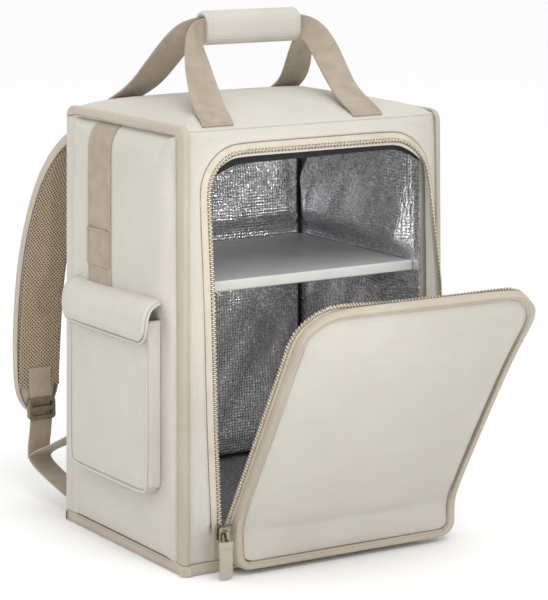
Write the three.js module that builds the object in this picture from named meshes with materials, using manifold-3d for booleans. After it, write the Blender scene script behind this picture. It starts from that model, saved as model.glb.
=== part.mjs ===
// Insulated delivery backpack: a padded box with a foil-lined compartment, an open front flap,
// a side pocket, a joined carry handle and two shoulder straps. Millimetres, +Z up.
// The origin is the centre of the underside. The front is -Y and the wearer's side is +Y.
import * as THREE from 'three';
import { mergeVertices } from 'three/addons/utils/BufferGeometryUtils.js';
import Module from 'manifold-3d';

// Body
const HEIGHT = 460;
const BASE_WIDTH = 322;
const BASE_DEPTH = 258;
const TOP_WIDTH = 310;
const TOP_DEPTH = 248;
const GAP = 0.3;
const SIDE_WALL = 18;
const PANEL = 8;
const EDGE_ROLL = 10;
const SEAM_DROP = 3;
const BASE_STEP = 10;
const BASE_THICK = 44;
const LINING = 1.5;
const HALF_WIDTH = BASE_WIDTH / 2;
const HALF_DEPTH = BASE_DEPTH / 2;
const WALL_LOW = BASE_STEP + GAP;

// Padded faces: how far the cloth stands out at each distance in from the panel's edge
const SIDE_PUFF = [
  { inset: 0, rise: 0 },
  { inset: 9, rise: 0 },
  { inset: 12, rise: 2 },
  { inset: 20, rise: 4 },
  { inset: 34, rise: 5 },
];
const BACK_PUFF = [
  { inset: 0, rise: 0 },
  { inset: 9, rise: 0 },
  { inset: 14, rise: 2 },
  { inset: 26, rise: 4 },
];
const TOP_PUFF = [
  { inset: 0, rise: 0 },
  { inset: 5, rise: 0 },
  { inset: 10, rise: 3 },
  { inset: 24, rise: 8 },
  { inset: 50, rise: 13 },
  { inset: 85, rise: 16.5 },
  { inset: 112, rise: 18 },
];
const SIDE_RISE = SIDE_PUFF.at(-1).rise;

// Binding tape over the side edges, as a section: along = out past the edge, out = off the side
const EDGE_TAPE = [
  { along: -16, out: GAP },
  { along: -16, out: 1.6 },
  { along: -14.5, out: 2.8 },
  { along: -1, out: 2.8 },
  { along: 1.8, out: 1.8 },
  { along: 2.8, out: -1 },
  { along: 2.8, out: -3 },
  { along: 1.8, out: -4 },
  { along: GAP, out: -4 },
  { along: GAP, out: GAP },
];
const EDGE_TAPE_REACH = 16;
const BAND_HEIGHT = 12;
const BAND_THICK = 2.5;

// Front opening: the strip beside the zip turns forward, most of all on the slack right side
const OPENING_HALF = 154;
const OPENING_LOW = 30;
const OPENING_HIGH = 450;
const OPENING_LOW_RADIUS = 26;
const OPENING_HIGH_RADIUS = 58;
const STRIP_THICK = 4;
const FRONT_EDGE = [
  { z: 30, strip: 14, leftTurn: 32, rightTurn: 30 },
  { z: 56, strip: 20, leftTurn: 45, rightTurn: 40 },
  { z: 150, strip: 16, leftTurn: 42, rightTurn: 78 },
  { z: 285, strip: 13, leftTurn: 36, rightTurn: 80 },
  { z: 390, strip: 9, leftTurn: 30, rightTurn: 48 },
  { z: 450, strip: 7, leftTurn: 30, rightTurn: 30 },
];
const TAPE_WIDE = 7;
const TAPE_THICK = 1.2;
const CHAIN_WIDE = 4;
const CHAIN_THICK = 3;
const ZIP_LOW = 56;

// Shelf and lining tapes
const SHELF_TOP = 299;
const SHELF_THICK = 10;
const SHELF_FRONT = -106;
const TAPE_BLACK_WIDE = 8;
const TAPE_BLACK_THICK = 0.8;

// Front flap, opened forward: a short foot on the floor, a bend, then a leaning face
const FLAP_LENGTH = 333;
const FLAP_FOOT = 30;
const FLAP_BEND_RADIUS = 45;
const FLAP_LEAN = 31.5;
const FLAP_FORWARD = 27;
const FLAP_SKEW = 0.03;
const FLAP_OFFSET = 14;
const FLAP_LOW = 5;
const FLAP_HALF_LOW = 132;
const FLAP_HALF_HIGH = 139;
const FLAP_LOW_RADIUS = 18;
const FLAP_HIGH_RADIUS = 40;
const FLAP_BINDING = 9;
const FLAP_HALF_THICK = 7;
const FLAP_PUFF = 4;
const FLAP_PUFF_POWER = 6;
const FLAP_RING_SHARES = [
  0, 0.012, 0.028, 0.06, 0.085, 0.11, 0.13, 0.15, 0.17, 0.19, 0.3, 0.45, 0.6, 0.675, 0.75,
  0.825, 0.9, 0.925, 0.95, 0.97, 0.985, 1,
];
const FLAP_ACROSS_SHARES = [-1, -0.9, -0.5, 0, 0.5, 0.9, 1];
// How much further the right edge spreads than the left: at its waist, its foot and its top
const FLARE_WAIST_AT = 215;
const FLARE_WAIST = 3;
const FLARE_FOOT = 9;
const FLARE_TOP = 14;
const FLAP_TAPE_WIDE = 2.7;
const FLAP_TAPE_BACK = 5.5;
const HINGE_THICK = 2;
const HINGE_HALF = 120;

// Zip slider and pull
const SLIDER_X = -130.9;
const SLIDER_Y = -153;
const SLIDER_WIDE = 12;
const SLIDER_TALL = 15;
const SLIDER_Z = ZIP_LOW - GAP - SLIDER_TALL / 2;
const SLIDER_DEEP = 9;
const PLATE_THICK = 2.2;
const LINK_WIRE = 2;
const LINK_WIDE = 9;
const LINK_TALL = 12;
const BRIDGE_WIDE = 2.6;
const BRIDGE_DEEP = 7.4;
const BRIDGE_TALL = 9;
const EYE = 3;
const TAB_WIDE = 14;
const TAB_LONG = 33;
const TAB_THICK = 3;
const TONGUE_TALL = 6;
const PULL_AXIS_Y = SLIDER_Y - SLIDER_DEEP / 2 - 2.4;
const PULL_AXIS_Z = SLIDER_Z;

// Side pocket on the left
const POCKET_MIDDLE = -3;
const POCKET_HALF = 85;
const POCKET_LOW = 80;
const POCKET_HIGH = 262;
const POCKET_DEEP = 17;
const POCKET_BULGE = 4;
const POCKET_CLOTH = 2;
const POCKET_RADIUS = 6;
const PIPING = 3;
const POCKET_FLAP_HALF = 92;
const POCKET_FLAP_RADIUS = 16;
const POCKET_FLAP_THICK = 5;
const POCKET_FLAP_TOP = 283;
const PIPING_HIGH = 250;
const POCKET_FLAP_ROWS = [
  { out: 28.3, z: 240 },
  { out: 28, z: 249 },
  { out: 27.5, z: 258 },
  { out: 25.5, z: 270 },
  { out: 20, z: 278 },
  { out: 12.5, z: 281 },
  { out: 5.6, z: 281 },
];

// Side webbing on the left
const WEBBING_MIDDLE = 34;
const WEBBING_WIDE = 50;
const WEBBING_THICK = 2;
const PATCH_LOW = 296;
const PATCH_HIGH = 335;

// Carry handle: two webbings joined by a wrap. Each row is one place along half a webbing;
// leg is 1 where it is sewn on and 0 in the wrap, and shares out the sideways shifts.
const HANDLE_ROWS = [
  { x: 100, y: 114, z: 466.3, across: 0, width: 38, leg: 1 },
  { x: 100, y: 96, z: 471.5, across: 0, width: 38, leg: 1 },
  { x: 99, y: 82, z: 476, across: 2, width: 38, leg: 1 },
  { x: 96, y: 67, z: 490, across: 5, width: 38, leg: 0.8 },
  { x: 87, y: 41, z: 516, across: 16, width: 36, leg: 0.5 },
  { x: 79, y: 19, z: 537, across: 40, width: 32, leg: 0.2 },
  { x: 72, y: 7.5, z: 547, across: 75, width: 28, leg: 0 },
  { x: 62, y: 4.5, z: 549, across: 90, width: 25, leg: 0 },
  { x: 0, y: 4.5, z: 549, across: 90, width: 25, leg: 0 },
];
const HANDLE_FRONT_SHIFT = -9;
const HANDLE_BACK_SHIFT = 5;
const HANDLE_STEPS = 42;
const HANDLE_THICK = 2.5;
const WRAP_SHIFT = -4;
const WRAP_HALF_LONG = 61;
const WRAP_HALF_DEEP = 15;
const WRAP_HALF_TALL = 18;
const WRAP_Z = 549;

// Shoulder straps, left one; the right one mirrors it. Rows run from the back panel down.
const STRAP_ROWS = [
  { x: 84, y: 133.6, z: 428, width: 50 },
  { x: 84, y: 140, z: 428.6, width: 50 },
  { x: 90, y: 160, z: 430, width: 52 },
  { x: 104, y: 190, z: 416, width: 53 },
  { x: 120, y: 216, z: 378, width: 54 },
  { x: 132, y: 232, z: 322, width: 54 },
  { x: 140, y: 240, z: 255, width: 54 },
  { x: 143, y: 243, z: 185, width: 53 },
  { x: 144, y: 242, z: 140, width: 50 },
  { x: 144, y: 240, z: 98, width: 46 },
];
const STRAP_THICK = 12;
const STRAP_END = 0.1;
const STRAP_END_TRIM = 0.85;
const STRAP_STEPS = 24;
const MESH_WIDE = 40;
const MESH_THICK = 1.5;
const MESH_END_STEPS = 2;
const MESH_OFF = STRAP_THICK / 2 + GAP + MESH_THICK / 2;
const STRAP_BINDING = 2;
const STRAP_BINDING_TALL = 13;
const STRAP_WEBBING = 25;
const STRAP_WEBBING_THICK = 1.8;
const TAB_ROWS = [
  { x: 144, y: 232.9, z: 152, width: STRAP_WEBBING },
  { x: 144, y: 232.3, z: 135, width: STRAP_WEBBING },
  { x: 144, y: 229.6, z: 118, width: STRAP_WEBBING },
];
const BUCKLE_WIDE = 33;
const BUCKLE_TALL = 25;
const BUCKLE_DEEP = 7;
const BUCKLE_SLOT_WIDE = 26;
const BUCKLE_SLOT_TALL = 5.5;
const BUCKLE_SLOT_APART = 10.4;
const BUCKLE_X = 144;
const BUCKLE_Y = 229;
const BUCKLE_Z = 105;
const LOWER_ROWS = [
  { x: 144, y: 229.4, z: 92, width: STRAP_WEBBING },
  { x: 144, y: 231.5, z: 78, width: STRAP_WEBBING },
  { x: 145, y: 233, z: 62, width: STRAP_WEBBING },
  { x: 146, y: 231, z: 46, width: STRAP_WEBBING },
];
const ANCHOR_ROWS = [
  { x: 140, y: 133.8, z: 96, width: STRAP_WEBBING },
  { x: 140, y: 140, z: 93, width: STRAP_WEBBING },
  { x: 143, y: 184, z: 72, width: STRAP_WEBBING },
  { x: 145, y: 222, z: 55, width: STRAP_WEBBING },
  { x: 146, y: 228.5, z: 49, width: STRAP_WEBBING },
  { x: 146, y: 224, z: 44, width: STRAP_WEBBING },
  { x: 143, y: 184, z: 30, width: STRAP_WEBBING },
  { x: 140, y: 138, z: 19, width: STRAP_WEBBING },
  { x: 140, y: 130.4, z: 18, width: STRAP_WEBBING },
];

// Sections of a band: across and out are fractions of its half width and half thickness
const FLAT_SECTION = [
  { across: -1, out: -1 },
  { across: 1, out: -1 },
  { across: 1, out: 1 },
  { across: -1, out: 1 },
];
const PAD_SECTION = [
  { across: -1, out: -0.35 },
  { across: -0.9, out: -0.85 },
  { across: -0.65, out: -1 },
  { across: 0.65, out: -1 },
  { across: 0.9, out: -0.85 },
  { across: 1, out: -0.35 },
  { across: 1, out: 0.35 },
  { across: 0.9, out: 0.85 },
  { across: 0.65, out: 1 },
  { across: -0.65, out: 1 },
  { across: -0.9, out: 0.85 },
  { across: -1, out: 0.35 },
];

const wasm = await Module();
wasm.setup();

const vector = (x, y, z) => new THREE.Vector3(x, y, z);
const radians = THREE.MathUtils.degToRad;
const { lerp } = THREE.MathUtils;

// The value of a column in a table at a place between two rows
function tableAt(rows, key, place, column) {
  const after = rows.findIndex((row) => row[key] >= place);
  if (after === 0) return rows[0][column];
  if (after < 0) return rows.at(-1)[column];
  const low = rows[after - 1];
  const high = rows[after];
  return lerp(low[column], high[column], (place - low[key]) / (high[key] - low[key]));
}

// The body narrows evenly from its base to its top seam
function tapered(point) {
  const share = Math.min(point.z, HEIGHT) / HEIGHT;
  const wide = lerp(1, TOP_WIDTH / BASE_WIDTH, share);
  const deep = lerp(1, TOP_DEPTH / BASE_DEPTH, share);
  return vector(point.x * wide, point.y * deep, point.z);
}

// A geometry from points and triangles, turned right side out
function solid(points, triangles) {
  let volume = 0;
  for (const [a, b, c] of triangles) {
    volume += points[a].dot(points[b].clone().cross(points[c]));
  }
  const outward = volume > 0 ? triangles : triangles.map(([a, b, c]) => [a, c, b]);
  const geometry = new THREE.BufferGeometry();
  geometry.setFromPoints(points);
  geometry.setIndex(outward.flat());
  return geometry;
}

// Triangles that close a flat ring of points
function capOf(ring) {
  const normal = vector(0, 0, 0);
  ring.forEach((point, i) => normal.add(point.clone().cross(ring[(i + 1) % ring.length])));
  const turn = new THREE.Quaternion().setFromUnitVectors(normal.normalize(), vector(0, 0, 1));
  const flat = ring.map((point) => point.clone().applyQuaternion(turn));
  const contour = flat.map((point) => new THREE.Vector2(point.x, point.y));
  return THREE.ShapeUtils.triangulateShape(contour, []);
}

// A solid through rings of equal length: capped at both ends, or closed on itself
function loft(rings, { closed = false } = {}) {
  const count = rings[0].length;
  const points = rings.flat();
  const triangles = [];
  const spans = closed ? rings.length : rings.length - 1;
  for (let i = 0; i < spans; i += 1) {
    const here = i * count;
    const next = ((i + 1) % rings.length) * count;
    for (let j = 0; j < count; j += 1) {
      const k = (j + 1) % count;
      triangles.push([here + j, here + k, next + k], [here + j, next + k, next + j]);
    }
  }
  if (!closed) {
    const last = (rings.length - 1) * count;
    for (const [a, b, c] of capOf(rings[0])) triangles.push([a, c, b]);
    for (const [a, b, c] of capOf(rings.at(-1))) triangles.push([last + a, last + b, last + c]);
  }
  return solid(points, triangles);
}

// A rounded rectangle as points with their outward directions, from its lower right corner round
function loop({ half, low, high, lowRadius, highRadius = lowRadius, middle = 0,
  cornerSteps = 4, sideSteps = 1, endSteps = 1 }) {
  const corners = [
    { u: half - lowRadius, v: low + lowRadius, radius: lowRadius, from: -90, steps: sideSteps },
    { u: half - highRadius, v: high - highRadius, radius: highRadius, from: 0, steps: endSteps },
    { u: highRadius - half, v: high - highRadius, radius: highRadius, from: 90, steps: sideSteps },
    { u: lowRadius - half, v: low + lowRadius, radius: lowRadius, from: 180, steps: endSteps },
  ];
  const onCorner = (corner, share) => {
    const angle = radians(corner.from + 90 * share);
    const nu = Math.cos(angle);
    const nv = Math.sin(angle);
    return { u: middle + corner.u + corner.radius * nu, v: corner.v + corner.radius * nv, nu, nv };
  };
  return corners.flatMap((corner, i) => {
    const run = [];
    for (let step = 0; step <= cornerSteps; step += 1) {
      run.push(onCorner(corner, step / cornerSteps));
    }
    const from = run.at(-1);
    const to = onCorner(corners[(i + 1) % corners.length], 0);
    for (let step = 1; step < corner.steps; step += 1) {
      const share = step / corner.steps;
      run.push({ u: lerp(from.u, to.u, share), v: lerp(from.v, to.v, share), nu: from.nu, nv: from.nv });
    }
    return run;
  });
}

// The part of such a loop above its lower corners
function archOf(points, { cornerSteps = 4, endSteps = 1 }) {
  return points.slice(cornerSteps, points.length - endSteps - cornerSteps + 1);
}

// A padded panel: a flat back, and a front that stands out as its table of insets says
function puffedPanel(outline, puff, thick, place, backTrim = 0) {
  const ringAt = (inset, out, trim) => loop({
    ...outline,
    half: outline.half - inset,
    low: outline.low + inset + (outline.trimLow ? trim : 0),
    high: outline.high - inset - trim,
    lowRadius: Math.max(0.5, outline.lowRadius - inset),
  }).map(({ u, v }) => place(u, v, out));
  return loft([ringAt(0, -thick, backTrim), ...puff.map(({ inset, rise }) => ringAt(inset, rise, 0))]);
}

// How far the rounded top edge falls away at a distance from the middle of a face
function edgeRoll(distance, limit) {
  const past = Math.max(0, distance - (limit - EDGE_ROLL));
  return EDGE_ROLL - Math.sqrt(EDGE_ROLL ** 2 - past ** 2);
}

const onSide = (side) => (u, v, out) => vector(side * (HALF_WIDTH + out), u, v);
const onFront = (u, v, out) => vector(u, -(HALF_DEPTH + out - edgeRoll(v, HEIGHT)), v);
const onBack = (u, v, out) => vector(u, HALF_DEPTH + out - edgeRoll(v, HEIGHT), v);
const onTop = (u, v, out) => vector(u, v, HEIGHT + out - edgeRoll(Math.abs(v), HALF_DEPTH));

// Body panels
function sidePanel(side) {
  const half = HALF_DEPTH - PANEL - GAP;
  const outline = { half, low: WALL_LOW, high: HEIGHT - PANEL - GAP, lowRadius: 2, sideSteps: 4 };
  return puffedPanel(outline, SIDE_PUFF, SIDE_WALL, onSide(side));
}

function backPanel() {
  const half = HALF_WIDTH - GAP;
  const outline = { half, low: WALL_LOW, high: HEIGHT - SEAM_DROP, lowRadius: 1, sideSteps: 4 };
  return puffedPanel(outline, BACK_PUFF, PANEL, onBack, PANEL - SEAM_DROP + 1);
}

function topPanel() {
  const reach = HALF_DEPTH - SEAM_DROP;
  const outline = { half: HALF_WIDTH - GAP, low: -reach, high: reach, lowRadius: 1, trimLow: true };
  const steps = { endSteps: 6, sideSteps: 4 };
  return puffedPanel({ ...outline, ...steps }, TOP_PUFF, PANEL, onTop, PANEL - SEAM_DROP);
}

function basePanel() {
  const ringAt = (half, deep, z) => loop({ half, low: -deep, high: deep, lowRadius: 2 })
    .map(({ u, v }) => vector(u, v, z));
  const outerX = HALF_WIDTH - GAP;
  const outerY = HALF_DEPTH - GAP;
  const innerX = HALF_WIDTH - SIDE_WALL - GAP;
  const innerY = HALF_DEPTH - PANEL - GAP;
  return loft([
    ringAt(outerX, outerY, 0),
    ringAt(outerX, outerY, BASE_STEP),
    ringAt(innerX, innerY, BASE_STEP),
    ringAt(innerX, innerY, BASE_THICK),
  ]);
}

// The front opening's edge: places are measured in from the hinge line along the turned strip
const FRONT_LOOP = { cornerSteps: 6, sideSteps: 9, endSteps: 4 };

function openingEdges() {
  const hinge = loop({
    half: OPENING_HALF,
    low: OPENING_LOW,
    high: OPENING_HIGH,
    lowRadius: OPENING_LOW_RADIUS,
    highRadius: OPENING_HIGH_RADIUS,
    ...FRONT_LOOP,
  });
  return hinge.map(({ u, v, nu, nv }) => {
    const right = tableAt(FRONT_EDGE, 'z', v, 'rightTurn');
    const left = tableAt(FRONT_EDGE, 'z', v, 'leftTurn');
    const share = THREE.MathUtils.smoothstep(u, -OPENING_HALF, OPENING_HALF);
    const turn = radians(lerp(left, right, share));
    const strip = tableAt(FRONT_EDGE, 'z', v, 'strip');
    const at = (along, back) => {
      const inward = along * Math.cos(turn) + back * Math.sin(turn);
      const forward = along * Math.sin(turn) - back * Math.cos(turn);
      return onFront(u - nu * inward, v - nv * inward, forward);
    };
    return { strip, at, high: v };
  });
}

function frontFrame() {
  const outline = { half: HALF_WIDTH - GAP, low: WALL_LOW, lowRadius: 1, ...FRONT_LOOP };
  const border = (high, out) => loop({ ...outline, high }).map(({ u, v }) => onFront(u, v, out));
  const edges = openingEdges();
  return loft([
    border(HEIGHT - SEAM_DROP, 0),
    edges.map(({ at }) => at(0, 0)),
    edges.map(({ strip, at }) => at(strip, 0)),
    edges.map(({ strip, at }) => at(strip, STRIP_THICK)),
    edges.map(({ at }) => at(0, PANEL)),
    border(HEIGHT - PANEL - 1, -PANEL),
  ], { closed: true });
}

// A band of the body's zip from one distance past the strip to another
function bodyZipBand(from, to, thick) {
  const middle = STRIP_THICK / 2;
  const near = middle - thick / 2;
  const far = middle + thick / 2;
  const edges = archOf(openingEdges(), FRONT_LOOP);
  return loft(edges.map(({ strip, at }) => [
    at(strip + from, near),
    at(strip + to, near),
    at(strip + to, far),
    at(strip + from, far),
  ]));
}

// Binding tape along the front, top and back edge of one side
function edgeBinding(side) {
  const arches = EDGE_TAPE.map(({ along, out }) => archOf(loop({
    half: HALF_DEPTH + along,
    low: BAND_HEIGHT + GAP,
    high: HEIGHT + along,
    lowRadius: 0.5,
    highRadius: Math.max(1, EDGE_ROLL + along),
  }), {}).map(({ u, v }) => onSide(side)(u, v, out)));
  return loft(arches[0].map((point, i) => arches.map((arch) => arch[i])));
}

function baseBinding() {
  const ringAt = (out, z) => loop({
    half: HALF_WIDTH + out,
    low: -HALF_DEPTH - out,
    high: HALF_DEPTH + out,
    lowRadius: Math.max(0.5, out + 1),
  }).map(({ u, v }) => vector(u, v, z));
  const outer = GAP + BAND_THICK;
  return loft([
    ringAt(GAP, GAP),
    ringAt(outer - 1, GAP),
    ringAt(outer, 2),
    ringAt(outer, BAND_HEIGHT - 1.5),
    ringAt(outer - 1, BAND_HEIGHT),
    ringAt(GAP, BAND_HEIGHT),
  ], { closed: true });
}

// Lining: an open-fronted skin inside the walls
const LINING_HALF = HALF_WIDTH - SIDE_WALL - GAP;
const LINING_LOW = BASE_THICK + GAP;
const LINING_HIGH = HEIGHT - PANEL - GAP;
const LINING_DEEP = HALF_DEPTH - PANEL - GAP;
const ROOM_HALF = LINING_HALF - LINING;
const ROOM_LOW = LINING_LOW + LINING;
const ROOM_HIGH = LINING_HIGH - LINING;
const ROOM_BACK = LINING_DEEP - LINING;

function roomRing(inset, y) {
  return loop({
    half: LINING_HALF - inset,
    low: LINING_LOW + inset,
    high: LINING_HIGH - inset,
    lowRadius: 3,
    cornerSteps: 2,
  }).map(({ u, v }) => vector(u, y, v));
}

function lining() {
  return loft([
    roomRing(LINING, ROOM_BACK),
    roomRing(LINING, -LINING_DEEP),
    roomRing(0, -LINING_DEEP),
    roomRing(0, LINING_DEEP),
  ]);
}

function liningTape(from, to, near, far) {
  const rings = [roomRing(from, near), roomRing(to, near), roomRing(to, far), roomRing(from, far)];
  return loft(rings, { closed: true });
}

function shelfBoard() {
  const half = ROOM_HALF - GAP;
  const back = ROOM_BACK - TAPE_BLACK_THICK - 2 * GAP;
  const ringAt = (inset, z) => loop({
    half: half - inset,
    low: SHELF_FRONT + inset,
    high: back - inset,
    lowRadius: 4,
  }).map(({ u, v }) => vector(u, v, z));
  return loft([
    ringAt(1, SHELF_TOP - SHELF_THICK),
    ringAt(0, SHELF_TOP - SHELF_THICK + 1),
    ringAt(0, SHELF_TOP - 1),
    ringAt(1, SHELF_TOP),
  ]);
}

const flapHalf = (s) => lerp(FLAP_HALF_LOW, FLAP_HALF_HIGH, s / FLAP_LENGTH);

function flapFlare(s) {
  const above = s > FLARE_WAIST_AT;
  const most = above ? FLARE_TOP : FLARE_FOOT;
  const run = above ? FLAP_LENGTH - FLARE_WAIST_AT : FLARE_WAIST_AT;
  return FLARE_WAIST + (most - FLARE_WAIST) * ((s - FLARE_WAIST_AT) / run) ** 2;
}

// Flap places: u across, s up along the cloth from the floor, out towards the front
function onFlap(u, s, out) {
  const across = u + flapFlare(s) * Math.max(0, u / flapHalf(s)) ** 2;
  const lean = radians(FLAP_LEAN);
  const bendLength = FLAP_BEND_RADIUS * lean;
  const turned = THREE.MathUtils.clamp((s - FLAP_FOOT) / bendLength, 0, 1) * lean;
  const straight = Math.max(0, s - FLAP_FOOT - bendLength);
  const rise = Math.min(s, FLAP_FOOT) + FLAP_BEND_RADIUS * Math.sin(turned) + straight * Math.cos(lean);
  const reach = FLAP_BEND_RADIUS * (1 - Math.cos(turned)) + straight * Math.sin(lean);
  const forward = FLAP_FORWARD + FLAP_SKEW * across + reach + out * Math.cos(turned);
  return vector(FLAP_OFFSET + across, -(HALF_DEPTH + forward), FLAP_LOW + rise - out * Math.sin(turned));
}

const FLAP_LOOP = { cornerSteps: 5, sideSteps: 14, endSteps: 4 };

function flapLoop(inset, low, lowRadius) {
  return loop({
    half: FLAP_HALF_LOW - inset,
    low,
    high: FLAP_LENGTH - inset,
    lowRadius,
    highRadius: FLAP_HIGH_RADIUS - inset,
    ...FLAP_LOOP,
  }).map(({ u, v }) => ({ u: u * flapHalf(v) / FLAP_HALF_LOW, s: v }));
}

function flapPanel() {
  const inset = FLAP_BINDING + 2 * GAP;
  const low = inset;
  const high = FLAP_LENGTH - inset;
  const lowRadius = FLAP_LOW_RADIUS - inset;
  const highRadius = FLAP_HIGH_RADIUS - FLAP_BINDING + 2;
  return loft(FLAP_RING_SHARES.map((share) => {
    const s = lerp(low, high, share);
    const fromLow = Math.max(0, low + lowRadius - s);
    const fromHigh = Math.max(0, s - high + highRadius);
    const cornerLow = lowRadius - Math.sqrt(lowRadius ** 2 - fromLow ** 2);
    const cornerHigh = highRadius - Math.sqrt(Math.max(0, highRadius ** 2 - fromHigh ** 2));
    const half = flapHalf(s) - inset - cornerLow - cornerHigh;
    const crown = FLAP_PUFF * (1 - (2 * share - 1) ** FLAP_PUFF_POWER);
    const face = FLAP_ACROSS_SHARES.map((across) => {
      const out = FLAP_HALF_THICK + crown * (1 - across ** FLAP_PUFF_POWER) - 1;
      return onFlap(across * half, s, out);
    });
    return [...face, onFlap(half, s, -FLAP_HALF_THICK), onFlap(-half, s, -FLAP_HALF_THICK)];
  }));
}

function flapBinding() {
  const ringAt = (inset, out) => flapLoop(inset, inset, FLAP_LOW_RADIUS - inset)
    .map(({ u, s }) => onFlap(u, s, out));
  const thick = FLAP_HALF_THICK + 1;
  return loft([
    ringAt(FLAP_BINDING, thick - 1),
    ringAt(FLAP_BINDING - 2, thick),
    ringAt(2, thick),
    ringAt(0, thick - 2.5),
    ringAt(0, 2 - thick),
    ringAt(2, -thick),
    ringAt(FLAP_BINDING, -thick),
  ], { closed: true });
}

// A band of the flap's zip, outside the binding from one distance to another
function flapZipBand(from, to, thick) {
  const ringAt = (out, past) => archOf(flapLoop(-past, ZIP_LOW - 1, 1), FLAP_LOOP)
    .map(({ u, s }) => onFlap(u, s, out));
  const near = -FLAP_TAPE_BACK + thick / 2;
  const far = -FLAP_TAPE_BACK - thick / 2;
  const runs = [ringAt(near, from), ringAt(near, to), ringAt(far, to), ringAt(far, from)];
  return loft(runs[0].map((point, i) => runs.map((run) => run[i])));
}

function flapHinge() {
  const near = HALF_DEPTH + 2 * GAP + BAND_THICK;
  const far = (u) => HALF_DEPTH + FLAP_FORWARD + FLAP_SKEW * (u - FLAP_OFFSET) - FLAP_HALF_THICK - 1 - GAP;
  const ringAt = (z) => [
    vector(-HINGE_HALF, -near, z),
    vector(-HINGE_HALF, -far(-HINGE_HALF), z),
    vector(HINGE_HALF, -far(HINGE_HALF), z),
    vector(HINGE_HALF, -near, z),
  ];
  return loft([ringAt(FLAP_LOW + 1), ringAt(FLAP_LOW + 1 + HINGE_THICK)]);
}

// Joining and cutting closed geometries
function toManifold(geometry) {
  const bare = geometry.clone();
  bare.deleteAttribute('normal');
  bare.deleteAttribute('uv');
  const merged = mergeVertices(bare, 1e-4);
  return new wasm.Manifold(new wasm.Mesh({
    numProp: 3,
    vertProperties: new Float32Array(merged.attributes.position.array),
    triVerts: new Uint32Array(merged.index.array),
  }));
}

function toGeometry(manifold) {
  const { numProp, vertProperties, triVerts } = manifold.getMesh();
  const geometry = new THREE.BufferGeometry();
  const count = vertProperties.length / numProp;
  const position = new Float32Array(count * 3);
  for (let i = 0; i < count; i += 1) {
    position.set(vertProperties.subarray(i * numProp, i * numProp + 3), i * 3);
  }
  geometry.setAttribute('position', new THREE.BufferAttribute(position, 3));
  geometry.setIndex(Array.from(triVerts));
  return geometry;
}

const joined = (...geometries) => toGeometry(
  geometries.map(toManifold).reduce((all, next) => all.add(next)),
);
const cut = (geometry, ...tools) => toGeometry(
  tools.map(toManifold).reduce((left, tool) => left.subtract(tool), toManifold(geometry)),
);

function block(wide, deep, tall, x, y, z) {
  return new THREE.BoxGeometry(wide, deep, tall).translate(x, y, z);
}

function barAlongX(radius, long, x, y, z) {
  return new THREE.CylinderGeometry(radius, radius, long, 10).rotateZ(Math.PI / 2).translate(x, y, z);
}

// A rounded plate in the XZ plane, centred on a point
function plate(wide, tall, thick, radius, x, y, z) {
  const shape = new THREE.Shape(loop({ half: wide / 2, low: -tall / 2, high: tall / 2, lowRadius: radius })
    .map(({ u, v }) => new THREE.Vector2(u, v)));
  return new THREE.ExtrudeGeometry(shape, { depth: thick, bevelEnabled: false })
    .rotateX(Math.PI / 2)
    .translate(x, y + thick / 2, z);
}

// Zip slider: two plates on a divider, and a bridge that the link hangs from
function zipSlider() {
  const plateY = SLIDER_DEEP / 2 - PLATE_THICK / 2;
  const divider = block(3, SLIDER_DEEP - PLATE_THICK, 8, SLIDER_X, SLIDER_Y, SLIDER_Z + 2);
  const front = plate(SLIDER_WIDE, SLIDER_TALL, PLATE_THICK, 3, SLIDER_X, SLIDER_Y - plateY, SLIDER_Z);
  const rear = plate(SLIDER_WIDE, SLIDER_TALL, PLATE_THICK, 3, SLIDER_X, SLIDER_Y + plateY, SLIDER_Z);
  const bridge = block(BRIDGE_WIDE, BRIDGE_DEEP, BRIDGE_TALL, SLIDER_X, PULL_AXIS_Y - 0.2, PULL_AXIS_Z);
  const eye = block(2 * BRIDGE_WIDE, EYE, EYE + 1, SLIDER_X, PULL_AXIS_Y, PULL_AXIS_Z);
  return cut(joined(front, rear, divider, bridge), eye);
}

function pullLink() {
  const low = PULL_AXIS_Z - LINK_TALL + LINK_WIRE;
  const middle = (PULL_AXIS_Z + low) / 2;
  const room = LINK_WIDE - 2 * LINK_WIRE;
  const outer = block(LINK_WIDE, LINK_WIRE, LINK_TALL, SLIDER_X, PULL_AXIS_Y, middle);
  const inner = block(room, LINK_WIRE + 2, LINK_TALL - 2 * LINK_WIRE, SLIDER_X, PULL_AXIS_Y, middle);
  const barLength = LINK_WIDE - LINK_WIRE;
  const upperBar = barAlongX(LINK_WIRE / 2, barLength, SLIDER_X, PULL_AXIS_Y, PULL_AXIS_Z);
  const squareBar = block(room, LINK_WIRE + 2, LINK_WIRE + 1, SLIDER_X, PULL_AXIS_Y, PULL_AXIS_Z);
  return joined(cut(outer, inner, squareBar), upperBar);
}

function pullTab() {
  const barZ = PULL_AXIS_Z - LINK_TALL + LINK_WIRE;
  const top = barZ + LINK_WIRE / 2 + GAP + 1.2;
  const tongueWide = LINK_WIDE - 2 * LINK_WIRE - 2 * GAP;
  const tongueZ = top - TONGUE_TALL / 2;
  const tongue = block(tongueWide, LINK_WIRE + 2, TONGUE_TALL, SLIDER_X, PULL_AXIS_Y, tongueZ);
  const stripZ = top - TONGUE_TALL + 1 - TAB_LONG / 2;
  const strip = plate(TAB_WIDE, TAB_LONG, TAB_THICK, 1.5, SLIDER_X, PULL_AXIS_Y, stripZ);
  const eye = block(LINK_WIDE, LINK_WIRE + 2 * GAP, LINK_WIRE + 2 * GAP, SLIDER_X, PULL_AXIS_Y, barZ);
  return cut(joined(tongue, strip), eye);
}

// Pocket: an open-topped pouch against the left side
const POCKET_BACK = SIDE_RISE + GAP;

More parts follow.
